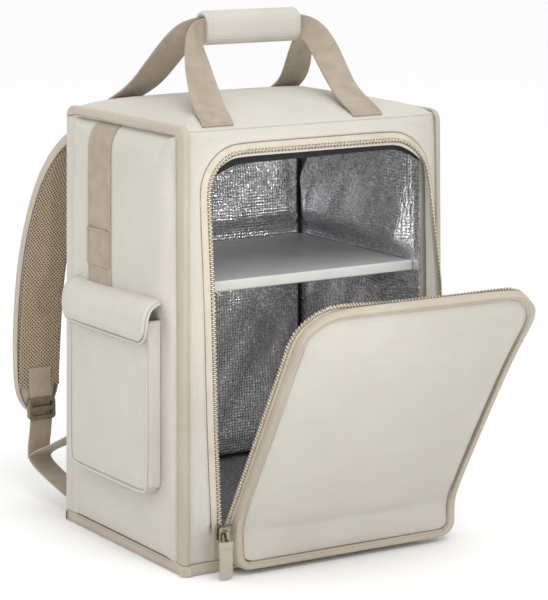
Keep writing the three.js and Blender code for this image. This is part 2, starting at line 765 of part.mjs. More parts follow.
function pocketRing(inset, z) {
  const half = POCKET_HALF - inset;
  return loop({
    half,
    low: inset,
    high: POCKET_DEEP - inset,
    lowRadius: 1,
    highRadius: Math.max(2, POCKET_RADIUS - inset),
    endSteps: 8,
  }).map(({ u, v }) => {
    const bow = POCKET_BULGE * (1 - (u / POCKET_HALF) ** 2) * Math.max(0, v / POCKET_DEEP) ** 2;
    const up = THREE.MathUtils.clamp((z - POCKET_LOW) / (POCKET_HIGH - POCKET_LOW), 0, 1);
    const rise = Math.sin(Math.PI * up);
    return onSide(-1)(POCKET_MIDDLE + u, z, POCKET_BACK + v + bow * rise);
  });
}

function pocketPouch() {
  const heights = [0.02, 0.2, 0.4, 0.6, 0.8, 1].map((share) => lerp(POCKET_LOW, POCKET_HIGH, share));
  const inside = heights.map((z, i) => pocketRing(POCKET_CLOTH, i === 0 ? POCKET_LOW + POCKET_CLOTH : z));
  const outside = heights.map((z) => pocketRing(0, z)).reverse();
  return loft([...inside, ...outside, pocketRing(POCKET_RADIUS / 2, POCKET_LOW)]);
}

// A cord of round section along the points of a loop, on the surface that place describes
function piping(points, radius, place) {
  const angles = [0, 60, 120, 180, 240, 300].map(radians);
  return loft(points.map(({ u, v, nu, nv }) => angles.map((angle) => {
    const past = radius * Math.cos(angle);
    return place(u + nu * past, v + nv * past, radius * Math.sin(angle));
  })));
}

// The part of a loop below its upper corners
function hangOf(outline) {
  const { low, high, lowRadius } = outline;
  const upturned = loop({ ...outline, low: -high, high: -low, lowRadius: 1, highRadius: lowRadius });
  return archOf(upturned, outline).map(({ u, v, nu, nv }) => ({ u, v: -v, nu, nv: -nv }));
}

// Cord along the pouch's outer edge: down the front, across the bottom and up the back
function pocketPiping() {
  const edge = hangOf({
    half: POCKET_HALF - 0.4,
    low: POCKET_LOW + 0.6,
    high: PIPING_HIGH,
    lowRadius: 3,
    cornerSteps: 3,
    endSteps: 1,
  });
  const onPouchEdge = (u, v, out) => onSide(-1)(POCKET_MIDDLE + u, v, POCKET_BACK + POCKET_DEEP + out);
  return piping(edge, PIPING / 2, onPouchEdge);
}

// Pocket flap: u along the flap, v up it from its free edge's lowest point, out off its middle
const POCKET_FLAP_CURVE = new THREE.CatmullRomCurve3(
  POCKET_FLAP_ROWS.map(({ out, z }) => vector(out, 0, z)),
);
const POCKET_FLAP_LONG = POCKET_FLAP_CURVE.getLength();

function onPocketFlap(u, v, out) {
  const share = THREE.MathUtils.clamp(v / POCKET_FLAP_LONG, 0, 1);
  const point = POCKET_FLAP_CURVE.getPointAt(share);
  const along = POCKET_FLAP_CURVE.getTangentAt(share);
  const below = v - share * POCKET_FLAP_LONG;
  const off = point.x + along.x * below + along.z * out;
  return onSide(-1)(POCKET_MIDDLE + u, point.z + along.z * below - along.x * out, off);
}

function pocketFlap() {
  const half = POCKET_FLAP_HALF;
  const radius = POCKET_FLAP_RADIUS;
  const corner = [0, 0.3, 0.6, 0.85, 1].map((share) => half - radius + share * radius);
  const places = [...corner.map((u) => -u).reverse(), ...corner];
  return loft(places.map((u) => {
    const past = Math.max(0, Math.abs(u) - half + radius);
    const low = radius - Math.sqrt(Math.max(0, radius ** 2 - past ** 2));
    const shares = [0, 0.2, 0.4, 0.55, 0.7, 0.85, 1];
    const ups = shares.map((share) => lerp(low, POCKET_FLAP_LONG, share));
    const thick = POCKET_FLAP_THICK / 2;
    return [
      ...ups.map((v) => onPocketFlap(u, v, thick)),
      ...ups.map((v) => onPocketFlap(u, v, -thick)).reverse(),
    ];
  }));
}

function pocketFlapBinding() {
  const past = GAP + PIPING / 2;
  const edge = hangOf({
    half: POCKET_FLAP_HALF + past,
    low: -past,
    high: POCKET_FLAP_LONG - PIPING,
    lowRadius: POCKET_FLAP_RADIUS + past,
    sideSteps: 5,
  });
  return piping(edge, PIPING / 2, onPocketFlap);
}

// Webbing sewn down the left side from the top binding to the pocket flap
function sideWebbing() {
  const panelTop = HEIGHT - PANEL - GAP;
  const start = panelTop - HEIGHT + EDGE_TAPE_REACH + GAP;
  const puffs = SIDE_PUFF.filter(({ inset }) => inset > start);
  const rows = [
    { z: panelTop - start, rise: 0 },
    ...puffs.map(({ inset, rise }) => ({ z: panelTop - inset, rise })),
    { z: POCKET_FLAP_TOP + 3, rise: SIDE_RISE },
  ];
  const half = WEBBING_WIDE / 2;
  return loft(rows.map(({ z, rise }) => {
    const near = rise + GAP;
    const far = near + WEBBING_THICK;
    const at = (u, out) => onSide(-1)(WEBBING_MIDDLE + u, z, out);
    return [at(-half, near), at(half, near), at(half, far), at(-half, far)];
  }));
}

function webbingPatch() {
  const near = SIDE_RISE + WEBBING_THICK + 2 * GAP;
  const outline = { half: WEBBING_WIDE / 2 - 1, low: PATCH_LOW, high: PATCH_HIGH, lowRadius: 1.5 };
  const ringAt = (out) => loop(outline).map(({ u, v }) => onSide(-1)(WEBBING_MIDDLE + u, v, out));
  return loft([ringAt(near), ringAt(near + WEBBING_THICK)]);
}

// A path with a direction across it, for bands and pads
function track(rows, acrossOf) {
  const curve = new THREE.CatmullRomCurve3(rows.map(({ x, y, z }) => vector(x, y, z)));
  const at = (share) => {
    const place = share * (rows.length - 1);
    const before = Math.min(Math.floor(place), rows.length - 2);
    const mixed = (column) => lerp(rows[before][column], rows[before + 1][column], place - before);
    const along = curve.getTangent(share);
    const across = acrossOf(mixed);
    across.addScaledVector(along, -across.dot(along)).normalize();
    const out = along.clone().cross(across);
    return { point: curve.getPoint(share), across, out, half: mixed('width') / 2 };
  };
  return { at, length: curve.getLength() };
}

function placeOn({ point, across, out }, u, off) {
  return point.clone().addScaledVector(across, u).addScaledVector(out, off);
}

// A band or pad of a given section along a track
function bandAlong(path, {
  from = 0, to = 1, steps, thick, off = 0, width, section = FLAT_SECTION, narrow = () => 1,
}) {
  const rings = [];
  for (let step = 0; step <= steps; step += 1) {
    const share = lerp(from, to, step / steps);
    const spot = path.at(share);
    const half = (width ? width / 2 : spot.half) * narrow(share);
    rings.push(section.map(({ across, out }) => placeOn(spot, across * half, off + out * thick / 2)));
  }
  return loft(rings);
}

// Carry handle
function handleWebbing(side, shift) {
  const placed = (row, hand) => ({
    ...row,
    x: hand * row.x + lerp(WRAP_SHIFT, shift, row.leg),
    y: side * row.y,
    acrossX: hand * Math.cos(radians(row.across)),
  });
  const rows = HANDLE_ROWS.map((row) => placed(row, 1));
  const mirrored = HANDLE_ROWS.slice(0, -1).reverse().map((row) => placed(row, -1));
  const upright = (mixed) => vector(mixed('acrossX'), 0, Math.sin(radians(mixed('across'))));
  return bandAlong(track([...rows, ...mirrored], upright), { steps: HANDLE_STEPS, thick: HANDLE_THICK });
}

function handleWrap() {
  const ringAt = (x, deep, tall, radius) => loop({
    half: deep,
    low: WRAP_Z - tall,
    high: WRAP_Z + tall,
    lowRadius: radius,
  }).map(({ u, v }) => vector(WRAP_SHIFT + x, u, v));
  const handle = HANDLE_ROWS.at(-1);
  const roomDeep = handle.y + HANDLE_THICK / 2 + 2 * GAP;
  const roomTall = handle.width / 2 + 2 * GAP;
  const outer = (x, inset) => ringAt(x, WRAP_HALF_DEEP - inset, WRAP_HALF_TALL - inset, WRAP_HALF_DEEP - 3);
  const end = WRAP_HALF_LONG;
  return loft([
    outer(-end, 2),
    outer(3 - end, 0),
    outer(end - 3, 0),
    outer(end, 2),
    ringAt(end, roomDeep, roomTall, 1),
    ringAt(-end, roomDeep, roomTall, 1),
  ], { closed: true });
}

// Shoulder straps: side is -1 on the left and 1 on the right
const mirrorRows = (rows, side) => rows.map((row) => ({ ...row, x: side * row.x }));
const strapTrack = (rows, side) => track(mirrorRows(rows, side), () => vector(side, 0, 0));

// The pad's half width shrinks in a round end
function strapNarrow(share) {
  const past = Math.max(0, share - 1 + STRAP_END) / STRAP_END;
  return Math.sqrt(1 - STRAP_END_TRIM * past ** 2);
}

function strapPad(side) {
  return bandAlong(strapTrack(STRAP_ROWS, side), {
    steps: STRAP_STEPS, thick: STRAP_THICK, section: PAD_SECTION, narrow: strapNarrow,
  });
}

function strapMesh(side) {
  const short = MESH_END_STEPS / STRAP_STEPS;
  return bandAlong(strapTrack(STRAP_ROWS, side), {
    from: short,
    to: 1 - short,
    steps: STRAP_STEPS - 2 * MESH_END_STEPS,
    thick: MESH_THICK,
    off: side * MESH_OFF,
    width: MESH_WIDE,
    section: FLAT_SECTION.toReversed(),
  });
}

// Binding round the pad's edge: down one side, round the end and up the other
function strapBinding(side) {
  const path = strapTrack(STRAP_ROWS, side);
  const shares = Array.from({ length: STRAP_STEPS }, (item, step) => (step + 1) / STRAP_STEPS);
  const edge = (sign) => shares.map((share) => {
    const spot = path.at(share);
    return { spot, u: sign * spot.half * strapNarrow(share), v: share * path.length };
  });
  const outline = [...edge(-1), ...edge(1).reverse()];
  return loft(outline.map((here, i) => {
    const before = outline[Math.max(0, i - 1)];
    const after = outline[Math.min(outline.length - 1, i + 1)];
    const run = new THREE.Vector2(after.u - before.u, after.v - before.v).normalize();
    const along = here.spot.across.clone().cross(here.spot.out);
    const at = (past, out) => placeOn(here.spot, here.u - run.y * past, out)
      .addScaledVector(along, run.x * past);
    const half = STRAP_BINDING_TALL / 2;
    const near = 2 * GAP;
    const far = near + STRAP_BINDING;
    return [at(near, -half), at(far, -half), at(far, half), at(near, half)];
  }));
}

// Ladder-lock buckle: a rounded plate with two slots
function strapBuckle(side) {
  const { x, y, z } = tapered(vector(side * BUCKLE_X, BUCKLE_Y, BUCKLE_Z));
  const slot = (rise) => block(BUCKLE_SLOT_WIDE, 2 * BUCKLE_DEEP, BUCKLE_SLOT_TALL, x, y, z + rise);
  const frame = plate(BUCKLE_WIDE, BUCKLE_TALL, BUCKLE_DEEP, 4, x, y, z);
  return cut(frame, slot(BUCKLE_SLOT_APART / 2), slot(-BUCKLE_SLOT_APART / 2));
}

function strapStrip(rows, side, steps) {
  return bandAlong(strapTrack(rows, side), { steps, thick: STRAP_WEBBING_THICK });
}

// Finishes
const CREAM = { color: 0xddd7ca, roughness: 0.85, metalness: 0 };
const BEIGE = { color: 0xb9a890, roughness: 0.85, metalness: 0 };
const FOIL = { color: 0xb9bcc0, roughness: 0.35, metalness: 0.8 };
const BLACK = { color: 0x1b1a1a, roughness: 0.8, metalness: 0 };
const GREY = { color: 0xa9abad, roughness: 0.6, metalness: 0 };
const BROWN = { color: 0x8a7254, roughness: 0.9, metalness: 0 };
const OLIVE = { color: 0x6d604a, roughness: 0.5, metalness: 0 };
const BRASS = { color: 0x9a8763, roughness: 0.4, metalness: 0.8 };

const group = new THREE.Group();

// Adds one named piece; pieces with narrows follow the body's taper
function add(name, geometry, finish, narrows = true) {
  const { position } = geometry.attributes;
  if (narrows) {
    for (let i = 0; i < position.count; i += 1) {
      const point = tapered(new THREE.Vector3().fromBufferAttribute(position, i));
      position.setXYZ(i, point.x, point.y, point.z);
    }
  }
  const mesh = new THREE.Mesh(geometry, new THREE.MeshStandardMaterial(finish));
  mesh.name = name;
  group.add(mesh);
}

add('base_panel', basePanel(), CREAM);
add('back_panel', backPanel(), CREAM);
add('top_panel', topPanel(), CREAM);
add('front_frame', frontFrame(), CREAM);
add('base_binding', baseBinding(), BEIGE);
add('lining', lining(), FOIL);
add('lining_tape_back', liningTape(
  LINING + GAP,
  LINING + GAP + TAPE_BLACK_WIDE,
  ROOM_BACK - GAP,
  ROOM_BACK - GAP - TAPE_BLACK_THICK,
), BLACK);
add('lining_tape_front', liningTape(
  LINING + GAP,
  LINING + GAP + TAPE_BLACK_THICK,
  -LINING_DEEP,
  TAPE_BLACK_WIDE - LINING_DEEP,
), BLACK);
add('shelf_board', shelfBoard(), GREY);
add('flap_panel', flapPanel(), CREAM);
add('flap_binding', flapBinding(), BEIGE);
add('flap_hinge', flapHinge(), CREAM);
const tapeStart = 2 * GAP;
const tapeEnd = tapeStart + TAPE_WIDE;
add('zip_tape_body', bodyZipBand(tapeStart, tapeEnd, TAPE_THICK), BEIGE);
add('zip_chain_body', bodyZipBand(tapeEnd + GAP, tapeEnd + GAP + CHAIN_WIDE, CHAIN_THICK), BRASS);
const flapTapeEnd = GAP + FLAP_TAPE_WIDE;
add('zip_tape_flap', flapZipBand(GAP, flapTapeEnd, TAPE_THICK), BEIGE);
add('zip_chain_flap', flapZipBand(flapTapeEnd + GAP, flapTapeEnd + GAP + CHAIN_WIDE, CHAIN_THICK), BRASS);
add('zip_slider', zipSlider(), BRASS, false);
add('pull_link', pullLink(), BRASS, false);
add('pull_tab', pullTab(), BEIGE, false);
add('pocket_pouch', pocketPouch(), CREAM);
add('pocket_piping', pocketPiping(), CREAM);
add('pocket_flap', pocketFlap(), CREAM);
add('pocket_flap_binding', pocketFlapBinding(), CREAM);
add('side_webbing', sideWebbing(), BEIGE);
add('webbing_patch', webbingPatch(), BEIGE);
add('handle_webbing_front', handleWebbing(-1, HANDLE_FRONT_SHIFT), BEIGE);
add('handle_webbing_back', handleWebbing(1, HANDLE_BACK_SHIFT), BEIGE);
add('handle_wrap', handleWrap(), CREAM);
for (const [hand, side] of [['left', -1], ['right', 1]]) {
  add(`side_panel_${hand}`, sidePanel(side), CREAM);
  add(`edge_binding_${hand}`, edgeBinding(side), BEIGE);
  add(`strap_pad_${hand}`, strapPad(side), CREAM);
  add(`strap_mesh_${hand}`, strapMesh(side), BROWN);
  add(`strap_binding_${hand}`, strapBinding(side), BEIGE);
  add(`strap_tab_${hand}`, strapStrip(TAB_ROWS, side, 6), BEIGE);
  add(`strap_buckle_${hand}`, strapBuckle(side), OLIVE, false);
  add(`strap_webbing_${hand}`, strapStrip(LOWER_ROWS, side, 9), BEIGE);
  add(`strap_anchor_${hand}`, strapStrip(ANCHOR_ROWS, side, 27), BEIGE);
}

export default group;
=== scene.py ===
"""Looks of an insulated delivery backpack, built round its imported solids. Metres, +Z up, front is -Y."""
import math

import bmesh
import bpy
import numpy as np
from mathutils import Matrix, Vector
from mathutils.bvhtree import BVHTree


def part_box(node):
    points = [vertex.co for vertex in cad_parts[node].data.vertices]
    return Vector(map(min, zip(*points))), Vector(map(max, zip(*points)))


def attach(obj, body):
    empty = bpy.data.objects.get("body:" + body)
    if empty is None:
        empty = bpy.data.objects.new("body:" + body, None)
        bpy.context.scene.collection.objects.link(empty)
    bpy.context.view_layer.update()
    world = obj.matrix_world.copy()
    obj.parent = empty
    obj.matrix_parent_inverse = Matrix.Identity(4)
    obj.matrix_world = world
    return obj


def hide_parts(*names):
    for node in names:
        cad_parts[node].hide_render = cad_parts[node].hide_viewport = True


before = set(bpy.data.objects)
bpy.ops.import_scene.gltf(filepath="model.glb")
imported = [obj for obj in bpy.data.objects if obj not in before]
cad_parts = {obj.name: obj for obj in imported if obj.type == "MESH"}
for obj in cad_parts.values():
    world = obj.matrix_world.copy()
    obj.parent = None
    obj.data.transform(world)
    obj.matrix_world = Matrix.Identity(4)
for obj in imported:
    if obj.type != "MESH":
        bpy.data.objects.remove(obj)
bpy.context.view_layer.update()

BAG = "bag"
ZIP_PULL = "zip_pull"
HANDS = (("left", -1), ("right", 1))

# The body narrows evenly from its base to its top seam
HEIGHT = 0.460
HALF_WIDTH = 0.161
HALF_DEPTH = 0.129
TOP_WIDE = 310 / 322
TOP_DEEP = 248 / 258

# Bindings round the side edges and the base
EDGING_REACH = 0.016
EDGING_SLIM = 0.0100
EDGING_TURN = 0.012
REAR_TUCK = 0.008
PANEL_TOP_DROPS = (0.0900, 0.0423, 0.0283, 0.0203, 0.0173, 0.0083)
PANEL_TOP_RISES = (0.0000, 0.0133, 0.0178, 0.0148, 0.0128, 0.0048)
PANEL_FOOT_LEVELS = (0.0103, 0.0193, 0.0223, 0.0303, 0.0443, 0.0900)
PANEL_FOOT_DROPS = (0.0015, 0.0093, 0.0111, 0.0143, 0.0103, 0.0000)
REAR_TOP = 0.06
REAR_TOP_TUCK = 0.0025
REAR_WIDE = 0.034
EDGING_FRONT_SLIM = 0.0035
EDGING_NEAR = 0.003
TIGHT_CORNER = 0.001
CORNER_NEAR = 0.0035
EDGING_SEAM_IN = 0.003
EDGING_SEAM_ENDS = (0.016, 0.012)
BAND_CORNER = 0.0065
BAND_STITCHES = (0.0098, 0.0030)
BAND_SEAM_HALVES = (0.152, 0.120)

# The opening: its facing and the black lip under the zip along its top
OPENING_MIDDLE = 0.240
ARC_X = 0.096
ARC_Z = 0.392
LIP_START = 0.405
LIP_RISE = 0.025
FACING_WIDE = 0.0042
LIP_WIDE = 0.0062
LIP_LEFT_MORE = 0.0018
FACING_LAP = 0.0008
FACING_BACK = Vector((0, 0.0030, 0))
TURN_BACK = Vector((0, 0.0025, 0))
LIP_BACK = Vector((0, 0.0015, 0))
LIP_BEHIND = Vector((0, 0.0009, 0))

# The lined room, before the body narrows, and the film's folds on its walls
ROOM_HALF = 0.1412
ROOM_BACK = 0.1192
ROOM_LOW = 0.0458
ROOM_HIGH = 0.4502
WALL_NEAR = 0.0004
FILM_GRID = 0.006
TAPE_SLIM = 0.0042
FRONT_TAPE_LOW = 0.012
FOIL_EDGE_WIDE = 0.030
FOIL_EDGE_TOP = 0.020
TRIM_PROUD = 0.0006
TRIM_THICK = 0.0032
TRIM_TALLER = 0.001
FOLD_DEEP = 0.0100
SAG_DEEP = 0.010
SAG_TOP = 0.442
SAG_LOW = 0.324
SAG_FROM = 0.29
FOLD_CLEAR = 0.008
FOLD_RISE = 0.016

# Camera at the photo's viewing angle, with its long side on the sensor
AZIMUTH = math.radians(-32.34)
ELEVATION = math.radians(10.77)
CAMERA_DISTANCE = 2.6416
CAMERA_TARGET = Vector((0.02005, -0.01269, 0.2525))
SENSOR = 36
LENS = 146.13
CLIP = (0.05, 60)

# Studio
FLOOR_PALE = (0.96, 0.96, 0.96)
FLOOR_SIZE = 40
BODY_AIM = (0, 0, 0.25)
ROOM_AIM = (-0.05, 0, 0.30)
ROOM_SPREAD = math.radians(8.6)

# How far outside a surface a ray towards it starts
CAST_FROM = 0.08

# Sewing
STITCH_PITCH = 0.0042
STITCH_LONG = 0.0030
STITCH_THICK = 0.0007
STITCH_LIFT = 0.0001
BOX_START = 0.003
BOX_LONG = 0.022
BOX_EDGE = 0.08

# Zip: its teeth, the foot of the body's tape, and how far the flap's half is tucked behind its edge
CHAIN_FACING = (-0.6, -0.8, 0)
TOOTH_PITCH = 0.0020
TOOTH_WIDE = 0.0011
TOOTH_LONG = 0.0034
TOOTH_THICK = 0.0030
TOOTH_STAGGER = 0.0006
TOOTH_SINK = 0.0015
CORD_SINK = 0.0009
ZIP_TAPE_THICK = 0.0012
ZIP_TAPE_TUCK = 0.0025
TAPE_FOOT = 0.0125
TAPE_FOOT_ROWS = 6
TAPE_OFF = 0.0013
TAPE_LEAN = 0.55
ZIP_TUCK_FROM = -0.10
ZIP_TUCK_EASE = 0.08
ZIP_TUCK_X = 0.099
ZIP_TUCK_CORNER = 0.040
ZIP_TUCK_IN = 0.0100
CHAIN_RUN_ON = 0.0085
ZIP_TUCK_BACK = 0.0055
TONGUE_TALL = 0.0062

# Soft simulation
SIM_FRAMES = 16
SIM_QUALITY = 4
CLOTH_MASS = 0.25
CLOTH_STIFFNESS = 12
CLOTH_BENDING = 0.6
LIGHT_PRESSURE = 1.5
LIGHT_CAP = 0.0012
PANEL_GRID = 0.010
POUCH_GRID = 0.008
SEWN_MARGIN = 0.010
POUCH_MARGIN = 0.008
PRESSED_MARGIN = 0.004

# Flap: the way its face looks, and where its binding is slim
FLAP_FACE = Vector((0, -0.85, -0.52)).normalized()
FLAP_SLIM = 0.0050
FLAP_SINK = 0.0045
FLAP_FULL_RIGHT = 0.158
FLAP_FULL_LOW = 0.035
FLAP_EASE = 0.035
FLAP_TOUCH = 0.0012
FLAP_SEAM_OUT = 0.0016

# Pocket
POUCH_ROUND = 0.013
POUCH_HEMS = (0.0090, 0.0125)
POUCH_HEM_ENDS = (0.010, 0.006)
POUCH_REAR_HEM = 0.008
POUCH_REAR_LOW = 0.012
POUCH_REAR_TOP = 0.235
FLAP_HEM = 0.0065
FLAP_CREST = 0.010
FLAP_BACK_HEM = 0.016

# Side webbing
PATCH_LOW = 0.296
PATCH_HIGH = 0.335
PATCH_ROWS = 8
PATCH_LIFT = 0.0016
PATCH_END_LIFT = 0.0005
WEBBING_LONGER = 0.005
WEBBING_HIGHER = 0.008
WEBBING_OFF = Vector((0.0022, 0, 0))

# Carry handle
GRIP_HEM = 0.0055
GRIP_WALL = 0.0035
GRIP_HOLLOW = 0.014
GRIP_CAST = 0.02
GRIP_HEM_STEPS = 40
LEG_TOP = 0.497
LEG_TAUT = 0.6
FOOT_LONGER = 0.008
FOOT_LIFT = Vector((0, 0, 0.0026))
RIGHT_LEG_IN = {"front": 0.018, "back": -0.006}
RIGHT_LEG_EASE = 0.075
RIGHT_LEG_TOP = 0.545
RIGHT_LEG_SLIM = 0.15
RIGHT_FOOT = 0.474
RIGHT_FOOT_EASE = 0.015
LEFT_FOOT_EASE = 0.040
LEFT_FOOT_OUT = 0.007

# Shoulder straps
LADDER_BACK = 0.0045
LADDER_ROWS = 8
MESH_WIDER = 1.28
STRAP_WIDER = 1.12

# A strip's cross-section
CORNERS = 4


# Handling objects
def activate_none():
    if bpy.context.mode != "OBJECT":
        bpy.ops.object.mode_set(mode="OBJECT")
    bpy.ops.object.select_all(action="DESELECT")


def activate(piece):
    activate_none()
    piece.select_set(True)
    bpy.context.view_layer.objects.active = piece


def edit(piece, select="SELECT"):
    activate(piece)
    bpy.ops.object.mode_set(mode="EDIT")
    bpy.ops.mesh.select_all(action=select)


def leave_edit():
    bpy.ops.object.mode_set(mode="OBJECT")


def apply_modifier(piece, kind, **settings):
    activate(piece)
    modifier = piece.modifiers.new(kind.title(), kind)
    for key, value in settings.items():
        setattr(modifier, key, value)
    bpy.ops.object.modifier_apply(modifier=modifier.name)


def creased(piece, angle=50, amount=0.75):
    """Keeps the piece's sharp edges in place when it is subdivided."""
    mesh = bmesh.new()
    mesh.from_mesh(piece.data)
    layer = mesh.edges.layers.float.get("crease_edge") or mesh.edges.layers.float.new("crease_edge")
    for edge in mesh.edges:
        if edge.calc_face_angle(0) > math.radians(angle):
            edge[layer] = amount
    mesh.to_mesh(piece.data)
    mesh.free()


def subdivide_smooth(piece, levels):
    apply_modifier(piece, "SUBSURF", levels=levels, render_levels=levels)
    activate(piece)
    bpy.ops.object.shade_smooth()


def points_of(piece):
    points = np.zeros(len(piece.data.vertices) * 3)
    piece.data.vertices.foreach_get("co", points)
    return points.reshape(-1, 3)


def set_points(piece, points):
    piece.data.vertices.foreach_set("co", np.asarray(points, np.float32).ravel())
    piece.data.update()


def clamped(share):
    return max(0, min(1, share))


def squared(points):
    """Points as they would be if the body didn't narrow towards its top."""
    share = np.minimum(points[:, 2:], HEIGHT) / HEIGHT
    return points / np.hstack((1 + (TOP_WIDE - 1) * share, 1 + (TOP_DEEP - 1) * share, np.ones_like(share)))


def surface_of(piece):
    return BVHTree.FromPolygons(
        [vertex.co.copy() for vertex in piece.data.vertices],
        [tuple(face.vertices) for face in piece.data.polygons],
    )


def straight(start, end, steps=30):
    return [Vector(start).lerp(Vector(end), step / steps) for step in range(steps + 1)]


def laid_on(surface, points, toward):
    """Points dropped on to a surface along a direction: where each lands, and the way the surface faces."""
    toward = Vector(toward).normalized()
    line = []
    for point in points:
        place, normal, face, far = surface.ray_cast(Vector(point) - toward * CAST_FROM, toward)
        if place is not None:
            line.append((place, normal))
    return line


def keep_faces(piece, wanted):
    """Deletes the faces that the test doesn't want."""
    edit(piece, "DESELECT")
    mesh = bmesh.from_edit_mesh(piece.data)
    for face in mesh.faces:
        face.select = not wanted(face.calc_center_median(), face.normal)
    bmesh.update_edit_mesh(piece.data)
    bpy.ops.mesh.delete(type="FACE")
    leave_edit()


def closed(piece):
    edit(piece)
    bpy.ops.mesh.fill_holes(sides=0)
    bpy.ops.mesh.normals_make_consistent(inside=False)
    leave_edit()


def ways_over(piece, wanted):
    """For each point of the wanted faces, the way that those faces look there."""
    ways = {}
    for face in piece.data.polygons:
        if wanted(face):
            for index in face.vertices:
                ways[index] = ways.get(index, Vector()) + face.normal * face.area
    return {index: way.normalized() for index, way in ways.items()}


def wall_against(piece, other):
    """The points of a flap piece on the wall that lies against another, each with the way that wall looks."""
    surface = surface_of(other)
    near = set()
    for vertex in piece.data.vertices:
        if surface.find_nearest(vertex.co, FLAP_TOUCH)[0] is not None:
            near.add(vertex.index)
    return ways_over(
        piece, lambda face: near.issuperset(face.vertices) and abs(face.normal.dot(FLAP_FACE)) < 0.6
    )


def front_ways(piece):
    """The points of the faces that look out of the flap, each with the way that they look."""
    return ways_over(piece, lambda face: face.normal.dot(FLAP_FACE) > 0.75)


def twin(piece, name):
    """A second piece that starts as a copy of the first one's mesh."""
    made = bpy.data.objects.new(name, piece.data.copy())
    bpy.context.scene.collection.objects.link(made)
    return made


def block(name, middle, size):
    """A plain box to start a piece from."""
    activate_none()
    bpy.ops.mesh.primitive_cube_add(size=1, location=middle, scale=size)
    piece = bpy.context.object
    piece.name = name
    bpy.ops.object.transform_apply(location=True, rotation=True, scale=True)
    return piece


def copy_of(node, name, quads=True):
    """A new piece that starts as a CAD node's mesh, merged and turned back into quads."""
    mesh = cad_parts[node].data.copy()
    mesh.materials.clear()
    piece = bpy.data.objects.new(name, mesh)
    bpy.context.scene.collection.objects.link(piece)
    activate(piece)
    bpy.ops.mesh.customdata_custom_splitnormals_clear()
    edit(piece)
    bpy.ops.mesh.remove_doubles(threshold=1e-6)
    if quads:
        bpy.ops.mesh.tris_convert_to_quads(face_threshold=math.radians(35), shape_threshold=math.radians(70))
    leave_edit()
    return piece


def bevelled(piece, width, segments=2, angle=35):
    apply_modifier(
        piece, "BEVEL", width=width, segments=segments, limit_method="ANGLE",
        angle_limit=math.radians(angle), use_clamp_overlap=True,
    )


def smooth_by_angle(piece, degrees=40):
    activate(piece)
    bpy.ops.object.shade_smooth_by_angle(angle=math.radians(degrees))


def settle(piece, material, nodes=(), body=BAG):
    """Gives a finished piece its material and body, and hides the CAD nodes it stands for."""
    piece.data.materials.clear()
    piece.data.materials.append(material)
    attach(piece, body)
    if nodes:
        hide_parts(*nodes)
    return piece


# Materials
class Finish:
    """A procedural material being wired up."""

    def __init__(self, name, roughness, metallic=0.0, color=(0.5, 0.5, 0.5)):
        self.material = bpy.data.materials.new(name)
        self.material.use_nodes = True
        self.tree = self.material.node_tree
        self.shader = self.tree.nodes["Principled BSDF"]
        self.set(**{"Roughness": roughness, "Metallic": metallic, "Base Color": (*color, 1)})

    def set(self, **sockets):
        for name, value in sockets.items():
            self.shader.inputs[name].default_value = value

    def node(self, kind, settings=None, **inputs):
        made = self.tree.nodes.new(kind)
        for key, value in (settings or {}).items():
            setattr(made, key, value)
        for key, value in inputs.items():
            self.feed(made.inputs[key.replace("_", " ")], value)
        return made

    def feed(self, socket, value):
        if isinstance(value, bpy.types.NodeSocket):
            self.tree.links.new(value, socket)
        else:
            socket.default_value = value

    def place(self, kind="Object"):
        return self.node("ShaderNodeTexCoord").outputs[kind]

    def calc(self, operation, first, second=0.0):
        made = self.node("ShaderNodeMath", {"operation": operation})
        self.feed(made.inputs[0], first)
        self.feed(made.inputs[1], second)
        return made.outputs[0]

    def parts(self, vector):
        return self.node("ShaderNodeSeparateXYZ", Vector=vector).outputs

    def wave(self, value, pitch, phase=0.0):
        """A sine of the value with that pitch, from -1 to 1."""
        turn = self.calc("MULTIPLY", value, 2 * math.pi / pitch)
        return self.calc("SINE", self.calc("ADD", turn, phase))

    def noise(self, vector, scale, detail=3.0, roughness=0.5):
        return self.node(
            "ShaderNodeTexNoise", Vector=vector, Scale=scale, Detail=detail, Roughness=roughness
        ).outputs["Fac"]

    def ramp(self, value, low, high, from_value=0.0, to_value=1.0):
        """A colour between low and high as the value goes from one number to another."""
        share = self.node("ShaderNodeMapRange", Value=value, From_Min=from_value, From_Max=to_value)
        mix = self.node("ShaderNodeMix", {"data_type": "RGBA"})
        self.feed(mix.inputs["Factor"], share.outputs[0])
        self.feed(mix.inputs[6], (*low, 1))
        self.feed(mix.inputs[7], (*high, 1))
        return mix.outputs[2]

    def bump(self, height, distance, strength=1.0, under=None):
        made = self.node("ShaderNodeBump", Height=height, Distance=distance, Strength=strength)
        if under is not None:
            self.feed(made.inputs["Normal"], under)
        return made.outputs["Normal"]

    def color(self, socket):
        self.feed(self.shader.inputs["Base Color"], socket)

    def normal(self, socket):
        self.feed(self.shader.inputs["Normal"], socket)


